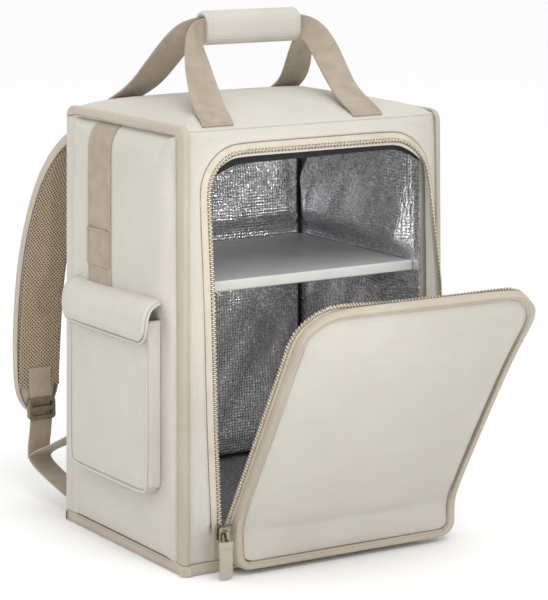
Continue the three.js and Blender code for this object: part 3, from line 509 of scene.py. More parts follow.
def woven_cloth(name, low, high, pitch, depth, roughness):
    """Fine plain weave on object coordinates, with faint cloudy colour and soft unevenness."""
    finish = Finish(name, roughness)
    finish.set(**{"Sheen Weight": 0.12, "Sheen Roughness": 0.5, "Specular IOR Level": 0.3})
    place = finish.place()
    x, y, z = finish.parts(place)
    threads = finish.calc("ADD", finish.wave(x, pitch), finish.wave(y, pitch, 1.1))
    threads = finish.calc("ADD", threads, finish.wave(z, pitch, 2.3))
    cloudy = finish.noise(place, 14, 5)
    slubs = finish.noise(place, 420, 2)
    tone = finish.calc("ADD", cloudy, finish.calc("MULTIPLY", threads, 0.03))
    tone = finish.calc("ADD", tone, finish.calc("MULTIPLY", slubs, 0.35))
    finish.color(finish.ramp(tone, low, high, 0.35, 1.0))
    soft = finish.bump(finish.noise(place, 22, 2), 0.0006, 0.3)
    finish.normal(finish.bump(threads, depth, 0.35, soft))
    return finish.material


def ribbed_webbing(name, low, high, rib, pick, depth, roughness):
    """Woven tape on the piece's own UV map, in metres: ribs along it and picks across it."""
    finish = Finish(name, roughness)
    finish.set(**{"Sheen Weight": 0.18, "Sheen Roughness": 0.45, "Specular IOR Level": 0.3})
    place = finish.place("UV")
    across, along, unused = finish.parts(place)
    ribs = finish.wave(across, rib)
    shifted = finish.calc("ADD", along, finish.calc("MULTIPLY", ribs, pick / 4))
    picks = finish.wave(shifted, pick)
    threads = finish.calc("ADD", finish.calc("MULTIPLY", ribs, 0.7), finish.calc("MULTIPLY", picks, 0.5))
    cloudy = finish.noise(finish.place(), 60, 4)
    tone = finish.calc("ADD", cloudy, finish.calc("MULTIPLY", threads, 0.1))
    finish.color(finish.ramp(tone, low, high, 0.25, 0.8))
    finish.normal(finish.bump(threads, depth, 0.6))
    return finish.material


def dimpled_foil():
    """Aluminised film pressed with rows of small dimples, deeper in some places than in others; its colour
    holds painted glints, and painted shade lower down.
    """
    finish = Finish("dimpled_foil", 0.19, 0.88)
    place = finish.place()
    pitch = 0.0034
    drift = finish.node("ShaderNodeTexNoise", Vector=place, Scale=190, Detail=2).outputs["Color"]
    shifted = finish.node("ShaderNodeVectorMath", {"operation": "MULTIPLY_ADD"})
    finish.feed(shifted.inputs[0], drift)
    finish.feed(shifted.inputs[1], (0.0042, 0.0042, 0.0042))
    finish.feed(shifted.inputs[2], place)
    x, y, z = finish.parts(shifted.outputs[0])
    rows = finish.calc("ADD", finish.wave(x, pitch), finish.wave(y, pitch, 0.7))
    rows = finish.calc("ADD", rows, finish.wave(z, pitch, 1.9))
    patches = finish.noise(place, 13, 3)
    pressed = finish.node("ShaderNodeMapRange", Value=patches, From_Min=0.36, From_Max=0.62)
    dimples = finish.calc("MULTIPLY", rows, finish.calc("ADD", pressed.outputs[0], 0.25))
    # Painted glints: a fine speckle, lifted a little on the dimples, makes the film's colour bright in some
    # spots and dark in others
    painted_glints_and_shade = finish.node("ShaderNodeTexNoise", Vector=place, Scale=330, Detail=1).outputs["Fac"]
    painted_glints_and_shade = finish.calc("ADD", painted_glints_and_shade, finish.calc("MULTIPLY", dimples, 0.06))
    # Painted shade: the film's colour is darker towards the bottom of the room, where the flap holds back the
    # light
    height = finish.parts(place)[2]
    painted_low_shade = finish.node("ShaderNodeMapRange", Value=height, From_Min=0.16, From_Max=0.31, To_Min=0.73)
    painted_glints_and_shade = finish.calc("MULTIPLY", painted_glints_and_shade, painted_low_shade.outputs[0])
    finish.color(finish.ramp(painted_glints_and_shade, (0.58, 0.585, 0.60), (0.99, 0.99, 1.0), 0.37, 0.60))
    crumpled = finish.bump(finish.noise(place, 26, 4, 0.6), 0.0012, 0.5)
    finish.normal(finish.bump(dimples, 0.00021, 1.0, crumpled))
    return finish.material


def spacer_mesh():
    """Open diagonal mesh: pale threads round dark holes, on the strip's UV map."""
    finish = Finish("spacer_mesh", 0.85)
    finish.set(**{"Sheen Weight": 0.15})
    across, along, unused = finish.parts(finish.place("UV"))
    pitch = 0.0042
    rising = finish.wave(finish.calc("ADD", across, along), pitch)
    falling = finish.wave(finish.calc("SUBTRACT", along, across), pitch)
    holes = finish.calc("MAXIMUM", rising, falling)
    finish.color(finish.ramp(holes, (0.045, 0.028, 0.015), (0.52, 0.40, 0.275), -0.35, 0.75))
    finish.normal(finish.bump(holes, 0.0009, 0.8))
    return finish.material


def covered_board(name, low, high):
    finish = Finish(name, 0.42)
    place = finish.place()
    finish.color(finish.ramp(finish.noise(place, 16, 4), low, high, 0.3, 0.7))
    uneven = finish.bump(finish.noise(place, 20, 2), 0.0012, 0.3)
    finish.normal(finish.bump(finish.noise(place, 850, 2), 0.0002, 0.35, uneven))
    return finish.material


def moulded_plastic():
    finish = Finish("moulded_plastic", 0.38)
    place = finish.place()
    mottled = finish.noise(place, 240, 3)
    finish.color(finish.ramp(mottled, (0.125, 0.095, 0.055), (0.19, 0.15, 0.095), 0.3, 0.7))
    finish.normal(finish.bump(finish.noise(place, 1500, 2), 0.0001, 0.4))
    return finish.material


def dull_metal(name, low, high, roughness):
    finish = Finish(name, roughness, 1.0)
    place = finish.place()
    finish.color(finish.ramp(finish.noise(place, 420, 4), low, high, 0.3, 0.7))
    finish.normal(finish.bump(finish.noise(place, 1300, 2), 0.0001, 0.4))
    return finish.material


def sewing_thread(name, low, high):
    finish = Finish(name, 0.75)
    finish.set(**{"Sheen Weight": 0.2})
    place = finish.place()
    finish.color(finish.ramp(finish.noise(place, 700, 2), low, high, 0.3, 0.7))
    finish.normal(finish.bump(finish.noise(place, 2600, 1), 0.0002, 0.5))
    return finish.material


CREAM = woven_cloth("cream_cloth", (0.510, 0.486, 0.429), (0.566, 0.542, 0.485), 0.0016, 0.0002, 0.82)
EDGING = woven_cloth("beige_edging", (0.430, 0.372, 0.298), (0.515, 0.458, 0.375), 0.0013, 0.00025, 0.85)
# The cream cloth painted paler, as if lit: painted light for the inner faces round the opening, which lie in
# shade
PAINTED_LIT_CREAM = woven_cloth("cream_painted_lit", (0.780, 0.735, 0.660), (0.860, 0.815, 0.740), 0.0013, 0.0002, 0.8)
WEBBING = ribbed_webbing(
    "beige_webbing", (0.318, 0.262, 0.198), (0.418, 0.356, 0.284), 0.0013, 0.0011, 0.00015, 0.85
)
# The cord under the teeth, coloured dark brown partly as painted shade in the gaps between the teeth
ZIP_CORD_SHADED = ribbed_webbing(
    "zip_cord_shaded", (0.150, 0.118, 0.075), (0.235, 0.190, 0.130), 0.0016, 0.0011, 0.0002, 0.8
)
ZIP_TAPE = ribbed_webbing(
    "zip_tape_cloth", (0.520, 0.460, 0.375), (0.620, 0.560, 0.470), 0.0013, 0.0011, 0.00015, 0.85
)
TAPE = woven_cloth("black_tape", (0.010, 0.010, 0.011), (0.022, 0.021, 0.021), 0.0014, 0.0002, 0.8)
FOIL = dimpled_foil()
MESH = spacer_mesh()
BOARD = covered_board("covered_board", (0.42, 0.43, 0.44), (0.50, 0.505, 0.51))
BOARD_TRIM = covered_board("board_trim", (0.58, 0.58, 0.55), (0.65, 0.645, 0.615))
PLASTIC = moulded_plastic()
BRASS = dull_metal("zip_teeth_metal", (0.60, 0.53, 0.41), (0.85, 0.79, 0.68), 0.30)
GUNMETAL = dull_metal("slider_metal", (0.24, 0.20, 0.14), (0.46, 0.40, 0.30), 0.34)
# Both threads are darker than the cloth under them, partly as painted shade, so that the stitch rows read as
# the shaded grooves of their seams
CREAM_THREAD_SHADED = sewing_thread("cream_thread_shaded", (0.38, 0.345, 0.28), (0.48, 0.445, 0.37))
BEIGE_THREAD_SHADED = sewing_thread("beige_thread_shaded", (0.25, 0.20, 0.14), (0.34, 0.28, 0.21))


# Strips: a CAD strip of four-cornered cross-sections, read as rows across one of its wide faces
def levels_from(start):
    """Sets of vertices, each one edge further from the start."""
    levels = [set(start)]
    seen = set(start)
    while levels[-1]:
        after = {edge.other_vert(vertex) for vertex in levels[-1] for edge in vertex.link_edges} - seen
        levels.append(after)
        seen |= after
    return levels[:-1]


def sections_of(mesh):
    """The cross-sections from one end to the other: an end is the quad that every level follows in fours."""
    for edge in mesh.edges:
        quad = {vertex for face in edge.link_faces for vertex in face.verts}
        levels = levels_from(quad)
        if all(len(level) == CORNERS for level in levels):
            return levels
    raise ValueError("not a strip of four-cornered sections")


def cornered(level):
    """One cross-section's corners in order round it."""
    ring = [min(level, key=lambda vertex: tuple(vertex.co))]
    while len(ring) < CORNERS:
        for edge in ring[-1].link_edges:
            onward = edge.other_vert(ring[-1])
            inside = all(level.issuperset(face.verts) for face in edge.link_faces)
            if onward in level and onward not in ring and not inside:
                ring.append(onward)
                break
    return [vertex.co.copy() for vertex in ring]


def matched(ring, before):
    """The ring started at the corner, and taken in the direction, that lies nearest the ring before."""
    choices = []
    for way in (ring, ring[::-1]):
        choices.extend(way[shift:] + way[:shift] for shift in range(CORNERS))
    return min(choices, key=lambda way: sum((a - b).length_squared for a, b in zip(way, before)))


def rows_of(node, facing):
    """Rows along the wide face that looks most along facing: left point, right point and normal."""
    scratch = copy_of(node, "scratch", False)
    mesh = bmesh.new()
    mesh.from_mesh(scratch.data)
    bpy.data.objects.remove(scratch)
    rings = []
    for level in sections_of(mesh):
        ring = cornered(level)
        rings.append(matched(ring, rings[-1]) if rings else ring)
    mesh.free()
    first = rings[0]
    starts_wide = (first[1] - first[0]).length > (first[2] - first[1]).length
    wide = ((0, 1), (3, 2)) if starts_wide else ((1, 2), (0, 3))
    faces = []
    for left, right in wide:
        rows = []
        for ring in rings:
            middle = sum(ring, Vector()) / CORNERS
            out = ring[left].lerp(ring[right], 0.5) - middle
            rows.append((ring[left], ring[right], out.normalized()))
        faces.append(rows)
    return max(faces, key=lambda rows: sum(row[2].dot(Vector(facing)) for row in rows))


def mid(row):
    return row[0].lerp(row[1], 0.5)


def carried(row, by):
    """A row moved by a vector."""
    return row[0] + by, row[1] + by, row[2]


def runs_of(points):
    """How far along a line each of its points lies."""
    run = [0.0]
    for before, after in zip(points, points[1:]):
        run.append(run[-1] + (after - before).length)
    return run


def line_along(rows, share, lift):
    """Points and normals along a strip, at a share across it and lifted off it."""
    return [(left.lerp(right, share) + normal * lift, normal) for left, right, normal in rows]


def wider(rows, share):
    """Rows drawn out about their middles."""
    result = []
    for left, right, normal in rows:
        middle = left.lerp(right, 0.5)
        result.append((middle.lerp(left, share), middle.lerp(right, share), normal))
    return result


def downward(rows):
    """Rows from the highest to the lowest, each from the lower X, then Y, to the higher."""
    ordered = rows if rows[0][0].z > rows[-1][0].z else rows[::-1]
    return [(*sorted((left, right), key=lambda corner: round(corner.x, 4) + corner.y), normal)
            for left, right, normal in ordered]


def eased(rows, rounds):
    """Rows with their sharp bends rounded and both ends kept."""
    for unused in range(rounds):
        inner = []
        for before, row, after in zip(rows, rows[1:], rows[2:]):
            inner.append(tuple((a + b + b + c) / 4 for a, b, c in zip(before, row, after)))
        rows = [rows[0]] + [(left, right, normal.normalized()) for left, right, normal in inner] + [rows[-1]]
    return rows


def finer(rows, cuts):
    """Rows with more rows laid evenly between each two."""
    result = []
    for row, after in zip(rows, rows[1:]):
        result += [tuple(a.lerp(b, step / cuts) for a, b in zip(row, after)) for step in range(cuts)]
    return [*result, rows[-1]]


def place_on(rows, run, share, lift):
    """A point on a strip and its normal, at a run along it from its start and a share across it."""
    gone = 0.0
    for row, after in zip(rows, rows[1:]):
        step = (mid(row) - mid(after)).length
        if run <= gone + step:
            break
        gone += step
    part = min(1, (run - gone) / step)
    left, right, normal = (a.lerp(b, part) for a, b in zip(row, after))
    return left.lerp(right, share) + normal * lift, normal.normalized()


def sewn_box(rows, end, crossed=False):
    """Stitch lines round a box on a strip, up to a run along it, and across it corner to corner."""
    corners = [(BOX_START, BOX_EDGE), (BOX_START, 1 - BOX_EDGE), (end, 1 - BOX_EDGE), (end, BOX_EDGE)]
    pairs = list(zip(corners, corners[1:] + corners[:1]))
    if crossed:
        pairs += [(corners[0], corners[2]), (corners[1], corners[3])]
    lines = []
    for (run, share), (to_run, to_share) in pairs:
        line = []
        for step in range(11):
            part = step / 10
            along = run + (to_run - run) * part
            line.append(place_on(rows, along, share + (to_share - share) * part, STITCH_LIFT))
        lines.append(line)
    return lines


def strip(name, rows, thick, across, levels=1):
    """A flat woven strip along rows, with its UV map in metres and its edges rounded."""
    spans = len(rows) - 1
    activate_none()
    bpy.ops.mesh.primitive_grid_add(x_subdivisions=across, y_subdivisions=spans, size=1)
    piece = bpy.context.object
    piece.name = name
    piece.data.name = name
    run = runs_of([mid(row) for row in rows])
    width = (rows[spans // 2][1] - rows[spans // 2][0]).length
    flat = points_of(piece) + 0.5
    uv = piece.data.uv_layers[0].data
    for loop in piece.data.loops:
        share, row = flat[loop.vertex_index, 0], round(flat[loop.vertex_index, 1] * spans)
        uv[loop.index].uv = (share * width, run[row])
    shaped = []
    for share, place, unused in flat:
        left, right, normal = rows[round(place * spans)]
        shaped.append(left.lerp(right, share))
    set_points(piece, shaped)
    middle = piece.data.polygons[len(piece.data.polygons) // 2]
    nearest = min(rows, key=lambda row: (mid(row) - middle.center).length)
    edit(piece)
    if middle.normal.dot(nearest[2]) < 0:
        bpy.ops.mesh.flip_normals()
    leave_edit()
    apply_modifier(piece, "SUBSURF", levels=levels, render_levels=levels, boundary_smooth="PRESERVE_CORNERS")
    apply_modifier(piece, "SOLIDIFY", thickness=thick, offset=-1)
    bevelled(piece, min(0.4 * thick, 0.0006), 2, 60)
    smooth_by_angle(piece, 50)
    return piece


# Many small things: one modelled shape, copied along a line into one mesh
def places_along(line, pitch):
    """Frames evenly along a line of (point, normal): X runs along it and Z stands off it."""
    points = np.array([point for point, normal in line])
    normals = np.array([normal for point, normal in line])
    run = np.concatenate(([0.0], np.cumsum(np.linalg.norm(np.diff(points, axis=0), axis=1))))
    count = max(1, round(run[-1] / pitch))
    stops = (np.arange(count) + 0.5) * run[-1] / count
    reach = min(pitch / 2, 0.0012)

    def at(values, stop):
        return Vector([np.interp(stop, run, values[:, axis]) for axis in range(3)])

    frames = []
    for stop in stops:
        along = (at(points, min(stop + reach, run[-1])) - at(points, max(stop - reach, 0))).normalized()
        out = at(normals, stop).normalized()
        across = out.cross(along).normalized()
        out = along.cross(across)
        turned = Matrix((along, across, out)).transposed().to_4x4()
        turned.translation = at(points, stop)
        frames.append(turned)
    return frames


def copies(name, shape, frames):
    """One mesh that holds a copy of the shape at every frame, and the shape itself is removed."""
    points = points_of(shape)
    faces = [tuple(face.vertices) for face in shape.data.polygons]
    bpy.data.objects.remove(shape)
    all_points, all_faces = [], []
    for turn in frames:
        matrix = np.array(turn)
        base = len(all_points)
        all_points.extend(points @ matrix[:3, :3].T + matrix[:3, 3])
        all_faces.extend(tuple(base + index for index in face) for face in faces)
    mesh = bpy.data.meshes.new(name)
    mesh.from_pydata([tuple(point) for point in all_points], [], all_faces)
    mesh.update()
    piece = bpy.data.objects.new(name, mesh)
    bpy.context.scene.collection.objects.link(piece)
    activate(piece)
    bpy.ops.object.shade_smooth()
    return piece


def one_stitch():
    """A short sunk thread: a low ball drawn out along X and pulled down at both ends."""
    activate_none()
    bpy.ops.mesh.primitive_uv_sphere_add(segments=6, ring_count=4, radius=1, rotation=(0, math.pi / 2, 0))
    shape = bpy.context.object
    bpy.ops.object.transform_apply(location=False, rotation=True, scale=False)
    points = points_of(shape)
    points *= (STITCH_LONG / 2, STITCH_THICK / 2, STITCH_THICK / 2)
    points[:, 2] -= 0.25 * STITCH_THICK * (2 * points[:, 0] / STITCH_LONG) ** 2
    set_points(shape, points)
    return shape


def stitches(name, lines, material):
    frames = [place for line in lines for place in places_along(line, STITCH_PITCH)]
    settle(copies(name, one_stitch(), frames), material)


def one_tooth():
    """A zip tooth: a block with a waisted neck towards the tape and a rounded head."""
    activate_none()
    bpy.ops.mesh.primitive_cube_add(size=1)
    shape = bpy.context.object
    edit(shape, "DESELECT")
    mesh = bmesh.from_edit_mesh(shape.data)
    for vertex in mesh.verts:
        vertex.co = Vector((vertex.co.x * TOOTH_WIDE, vertex.co.y * TOOTH_LONG, vertex.co.z * TOOTH_THICK))
    for face in mesh.faces:
        face.select = face.normal.y < -0.5
    bmesh.update_edit_mesh(shape.data)
    bpy.ops.transform.resize(value=(0.7, 1, 0.75))
    bpy.ops.mesh.select_all(action="SELECT")
    bpy.ops.mesh.bevel(offset=0.00022, segments=1, affect="EDGES")
    leave_edit()
    return shape


# Padded pieces
def gridded(piece, spacing, axes):
    """Cuts the piece by evenly spaced planes, so that its flat faces have a grid to swell on."""
    edit(piece)
    bpy.ops.mesh.dissolve_limited(angle_limit=math.radians(0.5))
    low = points_of(piece).min(axis=0)
    high = points_of(piece).max(axis=0)
    for axis in axes:
        normal = [0, 0, 0]
        normal[axis] = 1
        count = max(1, round((high[axis] - low[axis]) / spacing))
        for step in range(1, count):
            level = [0, 0, 0]
            level[axis] = low[axis] + (high[axis] - low[axis]) * step / count
            bpy.ops.mesh.select_all(action="SELECT")
            bpy.ops.mesh.bisect(plane_co=level, plane_no=normal)
    leave_edit()


def sewn_points(piece, outward, margin):
    """Points of the sides and back, and those of the face within a margin of them."""
    normals = np.zeros(len(piece.data.vertices) * 3)
    piece.data.vertices.foreach_get("normal", normals)
    points = points_of(piece)
    away = normals.reshape(-1, 3) @ np.array(outward) < 0.3
    held = away.copy()
    for index in np.flatnonzero(~away):
        held[index] = np.min(np.sum((points[away] - points[index]) ** 2, axis=1)) < margin**2
    return held


def swell(piece, held, pressure, cap):
    """Fills a piece with air in a short cloth simulation and keeps it within a cap of its start."""
    start = points_of(piece)
    group = piece.vertex_groups.new(name="sewn")
    group.add([int(index) for index in np.flatnonzero(held)], 1.0, "REPLACE")
    activate(piece)
    modifier = piece.modifiers.new("Cloth", "CLOTH")
    cloth = modifier.settings
    cloth.vertex_group_mass = group.name
    cloth.quality = SIM_QUALITY
    cloth.mass = CLOTH_MASS
    cloth.tension_stiffness = CLOTH_STIFFNESS
    cloth.compression_stiffness = CLOTH_STIFFNESS
    cloth.shear_stiffness = CLOTH_STIFFNESS / 2
    cloth.bending_stiffness = CLOTH_BENDING
    cloth.use_pressure = True
    cloth.uniform_pressure_force = pressure
    cloth.effector_weights.gravity = 0
    modifier.collision_settings.use_collision = False
    for step in range(1, SIM_FRAMES + 1):
        bpy.context.scene.frame_set(step)
    bpy.ops.object.modifier_apply(modifier=modifier.name)
    moved = points_of(piece) - start
    far = np.linalg.norm(moved, axis=1, keepdims=True)
    set_points(piece, start + moved * np.minimum(1, cap / np.maximum(far, 1e-9)))
    piece.vertex_groups.clear()
    bpy.context.scene.frame_set(1)


def swell_lightly(piece):
    """A light swell all over, with nothing held."""
    swell(piece, np.zeros(len(piece.data.vertices), bool), LIGHT_PRESSURE, LIGHT_CAP)


def relaxed(piece, held, rounds):
    """Smooths the points that aren't sewn down."""
    group = piece.vertex_groups.new(name="free")
    group.add([int(index) for index in np.flatnonzero(~held)], 1.0, "REPLACE")
    apply_modifier(piece, "SMOOTH", vertex_group=group.name, factor=0.5, iterations=rounds)
    piece.vertex_groups.clear()


def within(points, low, high, margin):
    low = np.array(low) - margin
    high = np.array(high) + margin
    return np.all((points > low) & (points < high), axis=1)


def padded(
    name, node, outward, axes, pressure, cap,
    spacing=PANEL_GRID, margin=SEWN_MARGIN, shape=None, pressed=(), rounds=0,
):
    """A panel that swells between its sewn edges, and not where the nodes in pressed are sewn over it."""
    piece = copy_of(node, name)
    if shape:
        shape(piece)
    gridded(piece, spacing, axes)
    held = sewn_points(piece, Vector(outward).normalized(), margin)
    for over in pressed:
        held |= within(points_of(piece), *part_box(over), PRESSED_MARGIN)
    swell(piece, held, pressure, cap)
    if rounds:
        relaxed(piece, held, rounds)
    creased(piece)
    subdivide_smooth(piece, 1)
    settle(piece, CREAM, [node])
    return piece


# Camera
def add_camera():
    back = Vector((
        math.sin(AZIMUTH) * math.cos(ELEVATION),
        -math.cos(AZIMUTH) * math.cos(ELEVATION),
        math.sin(ELEVATION),
    ))
    activate_none()
    bpy.ops.object.camera_add(location=CAMERA_TARGET + back * CAMERA_DISTANCE)
    camera = bpy.context.object
    camera.rotation_euler = (-back).to_track_quat("-Z", "Y").to_euler()
    camera.data.sensor_width = SENSOR
    camera.data.lens = LENS
    camera.data.clip_start, camera.data.clip_end = CLIP
    bpy.context.scene.camera = camera


def add_light(name, kind, place, aim, **settings):
    """A light turned towards what it is aimed at."""
    activate_none()
    bpy.ops.object.light_add(type=kind, location=place)
    light = bpy.context.object
    light.name = name
    for key, value in settings.items():
        setattr(light.data, key, value)
    light.rotation_euler = (Vector(place) - Vector(aim)).to_track_quat("Z", "Y").to_euler()


def add_studio():
    scene = bpy.context.scene
    scene.view_settings.view_transform = "Standard"
    world = bpy.data.worlds.new("studio")
    world.use_nodes = True
    world.node_tree.nodes["Background"].inputs["Color"].default_value = (1, 1, 1, 1)
    world.node_tree.nodes["Background"].inputs["Strength"].default_value = 1.0
    scene.world = world
    activate_none()
    bpy.ops.mesh.primitive_plane_add(size=FLOOR_SIZE)
    floor = bpy.context.object
    floor.name = "floor"
    finish = Finish("pale_floor", 0.9, 0.0, FLOOR_PALE)
    floor.data.materials.append(finish.material)
    add_light("key", "AREA", (-0.4, -1.5, 2.8), BODY_AIM, shape="DISK", size=1.8, energy=29)
    add_light("left_fill", "AREA", (-2.0, -1.5, 0.9), BODY_AIM, shape="DISK", size=1.2, energy=2.6)
    add_light(
        "room_light", "SPOT", (-0.9, -2.6, 0.75), ROOM_AIM,
        spot_size=ROOM_SPREAD, spot_blend=0.7, shadow_soft_size=0.15, energy=110,
    )


# Body
def round_corner(points):
    """Opens the edging's tight inner corner, at the top of the front, into an easy curve."""
    square = squared(points)
    middle_y = -HALF_DEPTH + EDGING_REACH - EDGING_FRONT_SLIM / TOP_DEEP + TIGHT_CORNER
    middle_z = HEIGHT - EDGING_REACH + EDGING_SLIM - TIGHT_CORNER
    near = (np.abs(square[:, 1] - middle_y) < CORNER_NEAR) & (np.abs(square[:, 2] - middle_z) < CORNER_NEAR)
    turn = np.arctan2(square[:, 2] - middle_z, middle_y - square[:, 1])
    turn = np.clip(turn, 0, math.pi / 2)
    wider_by = EDGING_TURN - TIGHT_CORNER
    points[:, 1] += np.where(near, wider_by * (1 - np.cos(turn)), 0)
    points[:, 2] -= np.where(near, wider_by * (1 - np.sin(turn)), 0)
    return points


def add_side_edging(hand):
    """The bound side edge: slim along the top, beige down the front and of the panel's own cloth behind."""
    node = f"edge_binding_{hand}"
    side = -1 if hand == "left" else 1
    edging = copy_of(node, f"side_edging_{hand}")
    points = points_of(edging)
    square = squared(points)
    top_run = (np.abs(square[:, 1]) < HALF_DEPTH - 0.010) & (square[:, 2] > HEIGHT - EDGING_REACH - 0.002)
    inner = top_run & (square[:, 2] < HEIGHT - EDGING_REACH + EDGING_NEAR)
    points[inner, 2] += EDGING_SLIM
    inner = (np.abs(square[:, 1] + HALF_DEPTH - EDGING_REACH) < EDGING_NEAR) & (square[:, 2] < HEIGHT)
    points[inner, 1] -= EDGING_FRONT_SLIM
    set_points(edging, round_corner(points))
    rear = twin(edging, f"rear_edge_{hand}")

    def is_rear(middle, normal):
        return middle.y > HALF_DEPTH - REAR_WIDE and middle.z < HEIGHT - EDGING_REACH

    points = points_of(rear)
    square = squared(points)
    inner = np.abs(square[:, 1] - HALF_DEPTH + EDGING_REACH) < EDGING_NEAR
    points[inner, 1] -= REAR_TUCK
    points[inner & (square[:, 2] > HEIGHT - REAR_TOP), 0] -= side * REAR_TOP_TUCK
    set_points(rear, points)
    keep_faces(rear, is_rear)
    keep_faces(edging, lambda middle, normal: not is_rear(middle, normal))
    for piece, material, slot in ((edging, EDGING, "beige_webbing"), (rear, CREAM, "cream_fabric")):
        closed(piece)
        bevelled(piece, 0.0005, 2, 25)
        smooth_by_angle(piece, 50)
        settle(piece, material, [node])
    surface = surface_of(edging)
    front = -HALF_DEPTH + EDGING_REACH - EDGING_FRONT_SLIM - EDGING_SEAM_IN
    low = (side * HALF_WIDTH, front, EDGING_SEAM_ENDS[0])
    high = (side * HALF_WIDTH, front * TOP_DEEP, HEIGHT - EDGING_SEAM_ENDS[1])
    line = laid_on(surface, straight(low, high, 80), (-side, 0, 0))
    stitches(f"edging_stitches_{hand}", [line], BEIGE_THREAD_SHADED)


def add_base_band():
    band = copy_of("base_binding", "base_band")
    edit(band, "DESELECT")
    mesh = bmesh.from_edit_mesh(band.data)
    for edge in mesh.edges:
        middle = (edge.verts[0].co + edge.verts[1].co) / 2
        upright = abs(edge.verts[0].co.z - edge.verts[1].co.z) > 0.8 * edge.calc_length()
        edge.select = upright and abs(middle.x) > HALF_WIDTH + 0.001 and abs(middle.y) > HALF_DEPTH + 0.001
    bmesh.update_edit_mesh(band.data)
    bpy.ops.mesh.bevel(offset=BAND_CORNER, segments=5, affect="EDGES")
    leave_edit()
    bevelled(band, 0.0007, 2, 40)
    smooth_by_angle(band, 35)
    settle(band, EDGING, ["base_binding"])
    surface = surface_of(band)
    lines = []
    wide, deep = BAND_SEAM_HALVES
    for level in BAND_STITCHES:
        for side in (-1, 1):
            along = straight((side * HALF_WIDTH, -deep, level), (side * HALF_WIDTH, deep, level))
            lines.append(laid_on(surface, along, (-side, 0, 0)))
            along = straight((-wide, side * HALF_DEPTH, level), (wide, side * HALF_DEPTH, level))
            lines.append(laid_on(surface, along, (0, -side, 0)))
    stitches("base_stitches", lines, BEIGE_THREAD_SHADED)


def add_body():
    def drawn_out(panel):
        """Brings the padding up to the slim edging and down to the base band."""
        points = points_of(panel)
        lower = np.interp(points[:, 2], PANEL_FOOT_LEVELS, PANEL_FOOT_DROPS)
        points[:, 2] += np.interp(points[:, 2] - HEIGHT, -np.array(PANEL_TOP_DROPS), PANEL_TOP_RISES) - lower
        set_points(panel, points)

    for hand, side in HANDS:
        over = ("pocket_pouch",) if side < 0 else ()
        padded(
            f"side_cloth_{hand}", f"side_panel_{hand}", (side, 0, 0), (1, 2),
            pressure=4.5, cap=0.006, shape=drawn_out, pressed=over, rounds=8,
        )
    padded("back_cloth", "back_panel", (0, 1, 0), (0, 2), pressure=3.0, cap=0.004, rounds=6)
    padded("top_cloth", "top_panel", (0, 0, 1), (0, 1), pressure=3.0, cap=0.004, rounds=6)
    front = copy_of("front_frame", "front_cloth")
    creased(front)
    subdivide_smooth(front, 2)
    settle(front, CREAM, ["front_frame"])
    # A thin sheet over the front cloth's faces that look into the opening, there only to carry the cream
    # painted paler as painted light
    facing = twin(front, "rim_painted_light")

    def looks_in(middle, normal):
        inward = Vector((-middle.x, 0, OPENING_MIDDLE - middle.z)).normalized()
        return normal.dot(inward) > 0.45 and normal.y > -0.3

    keep_faces(facing, looks_in)
    apply_modifier(facing, "SOLIDIFY", thickness=0.0008, offset=1)
    smooth_by_angle(facing)
    settle(facing, PAINTED_LIT_CREAM)
    base = copy_of("base_panel", "base_cloth")
    bevelled(base, 0.0015)
    smooth_by_angle(base)
    settle(base, CREAM, ["base_panel"])
    add_base_band()
    for hand, side in HANDS:
        add_side_edging(hand)


# Inside
def foil_folds(point):
    """How far the film stands off its wall: it sags over the shelf, in slanting folds that come and go."""
    x, y, z = point
    across = x - 0.9 * y
    first = 1 - abs(math.sin(56 * (0.89 * across - 0.46 * z) + 0.4))
    second = (0.5 + 0.5 * math.sin(83 * (0.80 * across - 0.60 * z) + 3.1)) ** 3
    fade = 0.6 + 0.4 * math.sin(19 * z + 11 * across)
    waves = math.sin(120 * across + 45 * z) * math.sin(96 * z + 1.0)
    sag = clamped((SAG_TOP - z) / (SAG_TOP - SAG_LOW)) if z > SAG_FROM else 0
    return SAG_DEEP * sag + FOLD_DEEP * (0.6 * first * fade + 0.3 * second + 0.12 * waves + 0.12)


